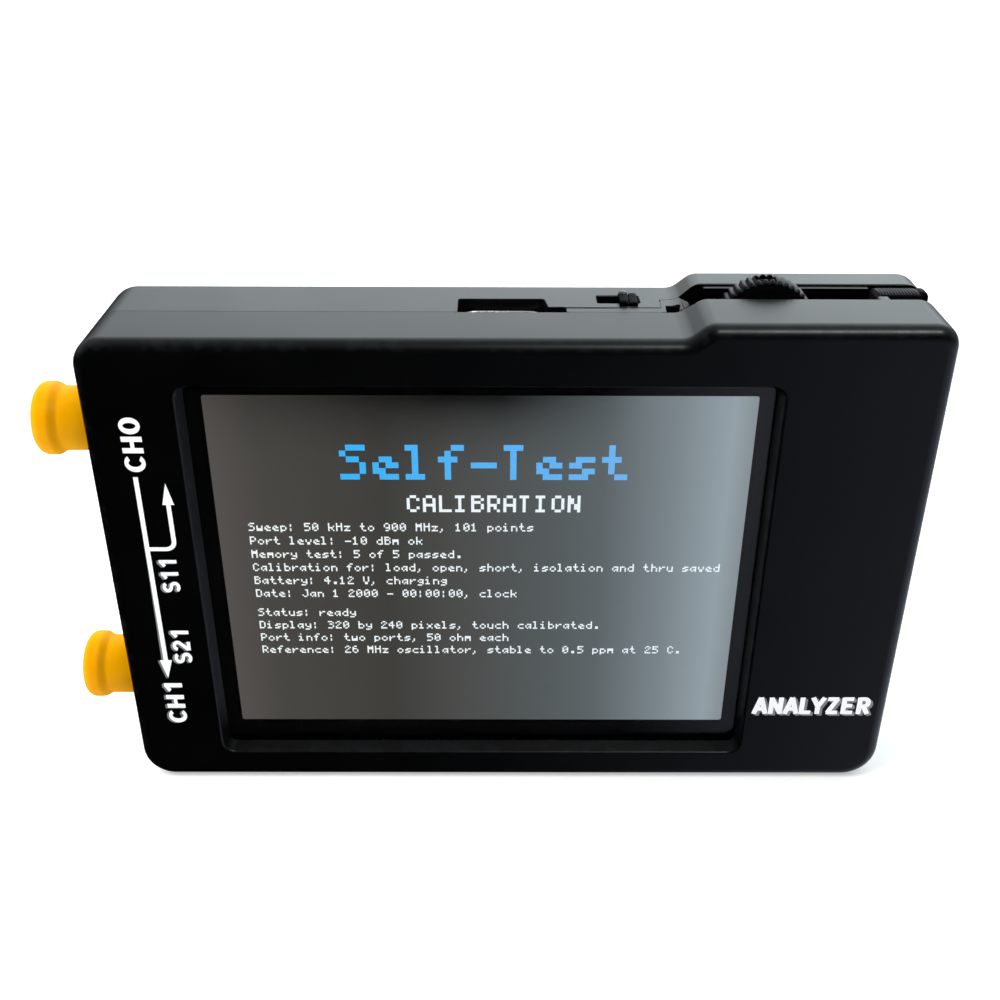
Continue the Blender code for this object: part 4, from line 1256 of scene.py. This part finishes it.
def thumbwheel():
    """Knurled wheel with a dished face, an index notch, and a recess for the spring behind."""
    low, high = box("thumbwheel")
    front, back, tip = low.y, high.y, (high.x - low.x) / 2
    middle = (front + back) / 2
    eases = ((0.0, 0.42), (0.08, 0.22), (0.22, 0.08), (0.42, 0.0))
    levels = [(front + depth, ease) for depth, ease in eases]
    levels += [(back - depth, ease) for depth, ease in eases[::-1]]
    rings = [wheel_ring(y, tip - TOOTH_DEPTH - ease * 0.4, tip - ease) for y, ease in levels]
    made = skinned("knurled_wheel", rings, SWITCH, 50)
    dish = ((front - 1, 4.45), (front, 4.45), (front + 0.12, 4.3), (front + 0.12, 2.2), (front, 2.05),
            (front - 1, 2.05))
    combine(
        made,
        "DIFFERENCE",
        hoop("dish", [circle("Y", WHEEL, y, radius, 72) for y, radius in dish]),
        turned("hub", "Y", [WHEEL], ((front - 1, 1.3), (back + 1, 1.3))),
        turned("recess", "Y", [WHEEL], ((back - 0.9, 3.6), (back + 1, 3.6))),
        block("notch", (WHEEL.x - 1.35, middle - 0.75, WHEEL.z + tip - 0.65),
              (WHEEL.x + 0.9, middle + 0.75, WHEEL.z + tip + 1), None, 0.12),
    )
    finish_edges(made, 50)
    place(made, "jog_wheel", "switch_plastic", "thumbwheel")


# ---------------------------------------------------------------- inside


def smooth_tube(name, points, radius, material, body, slot, *replaced):
    """A round wire through the points."""
    curve = bpy.data.curves.new(name, "CURVE")
    curve.dimensions = "3D"
    curve.bevel_depth = radius * MM
    curve.bevel_resolution = 4
    curve.resolution_u = 8
    curve.use_fill_caps = True
    spline = curve.splines.new("NURBS")
    spline.points.add(len(points) - 1)
    for spot, point in zip(spline.points, points):
        spot.co = (*(Vector(point) * MM), 1.0)
    spline.order_u = 4
    spline.use_endpoint_u = True
    curve.materials.append(material)
    place(linked(name, curve), body, slot, *replaced)


def battery():
    """A pouch cell: swollen faces, a folded seam along each side and a sealed top."""
    low, high = box("battery")
    middle = (low + high) / 2
    half = (high - low) / 2
    across, along = 36, 28
    bm = bmesh.new()
    grids = []
    for side in (-1, 1):
        grid = []
        for i in range(across + 1):
            u = 2 * i / across - 1
            row = []
            for j in range(along + 1):
                v = 2 * j / along - 1
                crown = ((1 - abs(u) ** 14) * (1 - abs(v) ** 10)) ** 0.5
                swell = 0.82 + 0.18 * (1 - u * u) * (1 - v * v)
                y = middle.y + side * half.y * (0.12 + 0.88 * crown * swell)
                row.append(bm.verts.new((middle.x + u * half.x, y, middle.z + v * half.z)))
            grid.append(row)
        for first, second in zip(grid, grid[1:]):
            for j in range(along):
                bm.faces.new((first[j], second[j], second[j + 1], first[j + 1]))
        grids.append(grid)
    rims = []
    for grid in grids:
        edge = [row[0] for row in grid] + grid[-1][1:] + [row[-1] for row in grid[-2::-1]]
        rims.append(edge + grid[0][-2:0:-1])
    for k in range(len(rims[0])):
        bm.faces.new((rims[0][k - 1], rims[0][k], rims[1][k], rims[1][k - 1]))
    place(mesh_object("pouch_cell", bm, POUCH, 60), "case", "battery_pouch", "battery")
    tab = block("cell_protection_board", (low.x + 12, middle.y - 1.2, high.z - 0.05),
                (high.x - 8, middle.y + 1.0, high.z + 0.3), POLYIMIDE, 0.1)
    place(tab, "case", "polyimide")
    for colour, material, side in (("red", RED_WIRE, -1), ("black", BLACK_WIRE, 1)):
        name = f"battery_lead_{colour}"
        low, high = box(name)
        x = (low.x + high.x) / 2
        start = Vector((x, high.y - 0.5, low.z + 0.15))
        end = Vector((x, low.y + 0.5, high.z - 0.15))
        points = []
        for share in (k / 6 for k in range(7)):
            sag = Vector((side * 0.2 * math.sin(math.pi * share), 0, 0))
            points.append(start.lerp(end, share) + sag)
        smooth_tube(f"{colour}_cell_lead", points, 0.48, material, "case", f"wire_{colour}", name)


def pads():
    """Foam strips with rounded edges, and the tissue tape under the cell."""
    for i in range(2):
        low, high = box(f"lcd_pad_{i}")
        made = block(f"foam_strip_{i}", low, high, FOAM, 0.35, 4)
        place(made, "case", "foam", f"lcd_pad_{i}")
    low, high = box("battery_tape")
    place(block("cell_tape", low, high, TAPE, 0.08, 2), "case", "tape", "battery_tape")


# Rows of small parts on the board: first (x, z), step to the next, how many, and whether they stand upright
SMALL_PARTS = (
    ((-38.0, 20.0), (0.0, 2.4), 9, True),
    ((-27.5, 44.0), (0.0, 1.7), 6, False),
    ((-13.0, 52.8), (2.0, 0.0), 7, True),
    ((1.2, 42.5), (0.0, 1.8), 5, False),
    ((20.5, 41.5), (0.0, 1.6), 6, False),
    ((37.5, 12.0), (0.0, 3.0), 8, True),
    ((-34.0, 7.5), (3.0, 0.0), 7, True),
)
# Sides of each chip that carry leads, leads to a side, and their pitch
CHIP_LEADS = {"mcu": (4, 12, 0.5), "clock_chip": (4, 5, 0.5), "codec_chip": (4, 8, 0.5),
              "mixer_chip_0": (2, 4, 1.0), "mixer_chip_1": (2, 4, 1.0), "mixer_chip_2": (2, 4, 1.0)}


def board_parts():
    """Pads, small parts and the leads of the chips, on the back of the board."""
    face = BOARD_HIGH.y
    solder = bmesh.new()
    bodies = bmesh.new()
    for first, step, count, upright in SMALL_PARTS:
        for k in range(count):
            x, z = first[0] + step[0] * k, first[1] + step[1] * k
            dx, dz = (0.26, 0.5) if upright else (0.5, 0.26)
            add_block(bodies, (x - dx, face + 0.04, z - dz), (x + dx, face + 0.36, z + dz), 0.04, 1)
            for side in (-0.5, 0.5):
                px, pz = (x, z + side) if upright else (x + side, z)
                low = (px - 0.28, face - 0.01, pz - 0.28)
                add_block(solder, low, (px + 0.28, face + 0.12, pz + 0.28), 0.08, 2)
    for name, (sides, count, pitch) in CHIP_LEADS.items():
        chip_leads(solder, name, sides, count, pitch, face)
    place(mesh_object("small_parts", bodies, CERAMIC), "case", "chip_epoxy")
    place(mesh_object("solder_pads", solder, TIN), "case", "tin_plate")


def chip_leads(bm, name, sides, count, pitch, face):
    """Short leads along two or four sides of a chip."""
    low, high = box(name)
    middle = (low + high) / 2
    half = 0.28 * pitch
    reach = 0.45
    for side in range(sides):
        along, out = (0, 2) if side < 2 else (2, 0)
        edge, way = (low[out], -1) if side % 2 == 0 else (high[out], 1)
        near, far = sorted((edge - way * 0.1, edge + way * reach))
        for k in range(count):
            place_along = middle[along] + (k - (count - 1) / 2) * pitch
            first = Vector((0, face - 0.01, 0))
            last = Vector((0, face + 0.2, 0))
            first[along], last[along] = place_along - half, place_along + half
            first[out], last[out] = near, far
            add_block(bm, first, last)


def spring():
    """The centring spring behind the wheel, as a smooth wire coil with two legs."""
    radius, leg = 2.1, 3.0
    turns = 1.6
    first = math.radians(-125)
    steps = 40
    stations = [(leg, 0), *((radius, k) for k in range(steps + 1)), (leg, steps)]
    points = []
    for reach, k in stations:
        u, v = polar(reach, first - 2 * math.pi * turns * k / steps)
        points.append((WHEEL.x + u, 3.62 + 0.3 * k / steps, WHEEL.z + v))
    smooth_tube("centring_spring", points, 0.12, STEEL, "wheel_slider", "bright_steel", "wheel_spring")


# ---------------------------------------------------------------- CAD nodes that keep their shape

KEPT = (
    (FILM, "touch_panel"),
    (BLACK_TAPE, "lcd_panel"),
    (STEEL, "lcd_frame power_switch_body push_dome"),
    (POLYIMIDE, "lcd_flex"),
    (MASK, "main_board"),
    (DIELECTRIC, "sma_insulator_0 sma_insulator_1"),
    (GOLD, "sma_pin_0 sma_pin_1"),
    (SWITCH, "usb_tongue wheel_switch_base wheel_carrier"),
    (AXLE, "wheel_axle"),
    (TIN, "shield_can_0 shield_can_1 crystal"),
    (CHIP, "mcu clock_chip codec_chip mixer_chip_0 mixer_chip_1 mixer_chip_2 charger_chip regulator_chip"),
    (NYLON, "battery_socket battery_plug"),
    (LED, "charge_led power_led"),
)
EASED = ("shield_can_0 shield_can_1 power_switch_body wheel_switch_base wheel_carrier battery_socket "
         "battery_plug mcu codec_chip clock_chip lcd_frame").split()


def kept_nodes():
    """Gives each CAD node that stays its finish, smooth shading and eased edges."""
    for material, names in KEPT:
        for name in names.split():
            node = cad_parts[name]
            node.data.materials.clear()
            node.data.materials.append(material)
            node.data.shade_smooth()
            joined = node.modifiers.new("joined", "WELD")
            joined.merge_threshold = 1e-6
            if name in EASED:
                eased = node.modifiers.new("eased", "BEVEL")
                eased.width = 0.07 * MM
                eased.segments = 2
                eased.limit_method = "ANGLE"
                eased.angle_limit = math.radians(40)
            even = node.modifiers.new("even_normals", "WEIGHTED_NORMAL")
            even.keep_sharp = True


# ---------------------------------------------------------------- stage


def floor():
    """A large pale sheet under the instrument, which doesn't show in its reflections."""
    paper = Shader("pale_floor", (0.80, 0.80, 0.80), 0.9, Specular_IOR_Level=0.1,
                   Emission_Color=(1.0, 1.0, 1.0, 1.0), Emission_Strength=0.45)
    bm = bmesh.new()
    bmesh.ops.create_grid(bm, x_segments=2, y_segments=2, size=2500)
    made = mesh_object("floor", bm, paper.material)
    made.visible_glossy = False
    made.visible_transmission = False


def area_light(name, place_mm, aim_mm, size, power):
    data = bpy.data.lights.new(name, "AREA")
    data.shape = "RECTANGLE"
    data.size = size[0] * MM
    data.size_y = size[1] * MM
    data.energy = power
    lamp = linked(name, data)
    lamp.location = Vector(place_mm) * MM
    lamp.rotation_euler = (Vector(aim_mm) - Vector(place_mm)).to_track_quat("-Z", "Y").to_euler()
    lamp.visible_camera = False
    return lamp


class Surroundings(Graph):
    """The world's nodes, with smooth steps and sums of coloured light."""

    def ease(self, value, low, high, most):
        return self.ramp(value, low, high, 0.0, most, interpolation_type="SMOOTHSTEP")

    def vector(self, operation, inputs, output=0):
        return self.add("ShaderNodeVectorMath", inputs, operation=operation).outputs[output]


def studio_world():
    """Soft surroundings: bright overhead, a large glow behind, a cool one low on the right, dark below."""
    world = bpy.data.worlds.new("studio")
    sky = Surroundings(world)
    way = sky.add("ShaderNodeTexCoord").outputs["Generated"]
    x, y, z = sky.split(way)
    overhead = sky.multiply(sky.ease(z, -0.02, 0.25, WORLD_OVERHEAD), sky.ease(y, -0.75, 0.15, 1.0))
    aim = Vector((0.14, 0.80, 0.58)).normalized()
    toward = sky.vector("DOT_PRODUCT", {0: way, 1: aim}, "Value")
    rightward = sky.math("ADD", sky.ease(x, 0.08, 0.30, 0.35), 1.0)
    behind = sky.multiply(sky.ease(toward, 0.72, 0.97, WORLD_BEHIND), rightward)
    low_right = sky.multiply(sky.ramp(x, 0.10, 0.47, 0.0, WORLD_RIGHT), sky.ease(z, 0.0, -0.2, 1.0))
    light = None
    for colour, amount in (((0.94, 0.98, 1.01), overhead), ((0.87, 0.98, 1.0), behind),
                           ((0.85, 0.93, 1.12), low_right)):
        part = sky.vector("SCALE", {0: colour, 3: amount})
        light = sky.vector("ADD", {0: light, 1: part}) if light else part
    background = sky.tree.nodes["Background"]
    sky.put(background.inputs["Color"], light)
    background.inputs["Strength"].default_value = 1.0
    bpy.context.scene.world = world


def lights():
    """A soft key from the left, and a strip high on the right that only shows as highlights."""
    studio_world()
    key = area_light("key", (-320, -120, 460), (0, 0, 30), (300, 300), KEY_POWER)
    key.visible_glossy = False
    strip = area_light("strip", (205, -310, 552), (35, -8, 60), (150, 50), STRIP_POWER)
    strip.visible_diffuse = False


def camera():
    data = bpy.data.cameras.new("camera")
    data.lens = CAMERA_LENS
    data.sensor_width = 36.0
    data.clip_start = 0.005
    data.clip_end = 20.0
    made = linked("camera", data)
    made.location = CAMERA_PLACE * MM
    aim = CAMERA_AIM.to_track_quat("-Z", "Y")
    roll = Matrix.Rotation(CAMERA_ROLL, 3, "Z")
    made.rotation_euler = (aim.to_matrix() @ roll).to_euler()
    bpy.context.scene.camera = made


camera()
lights()
floor()
bpy.context.scene.view_settings.view_transform = "Standard"

kept_nodes()
front_shell()
back_shell()
screws()
display()
front_print()
for number, (spot, cap) in enumerate(zip(PORTS, ("cap_upper", "cap_lower"))):
    port_body(number, spot)
    dust_cap(number, cap)
usb_socket()
power_lever()
thumbwheel()
spring()
battery()
pads()
board_parts()
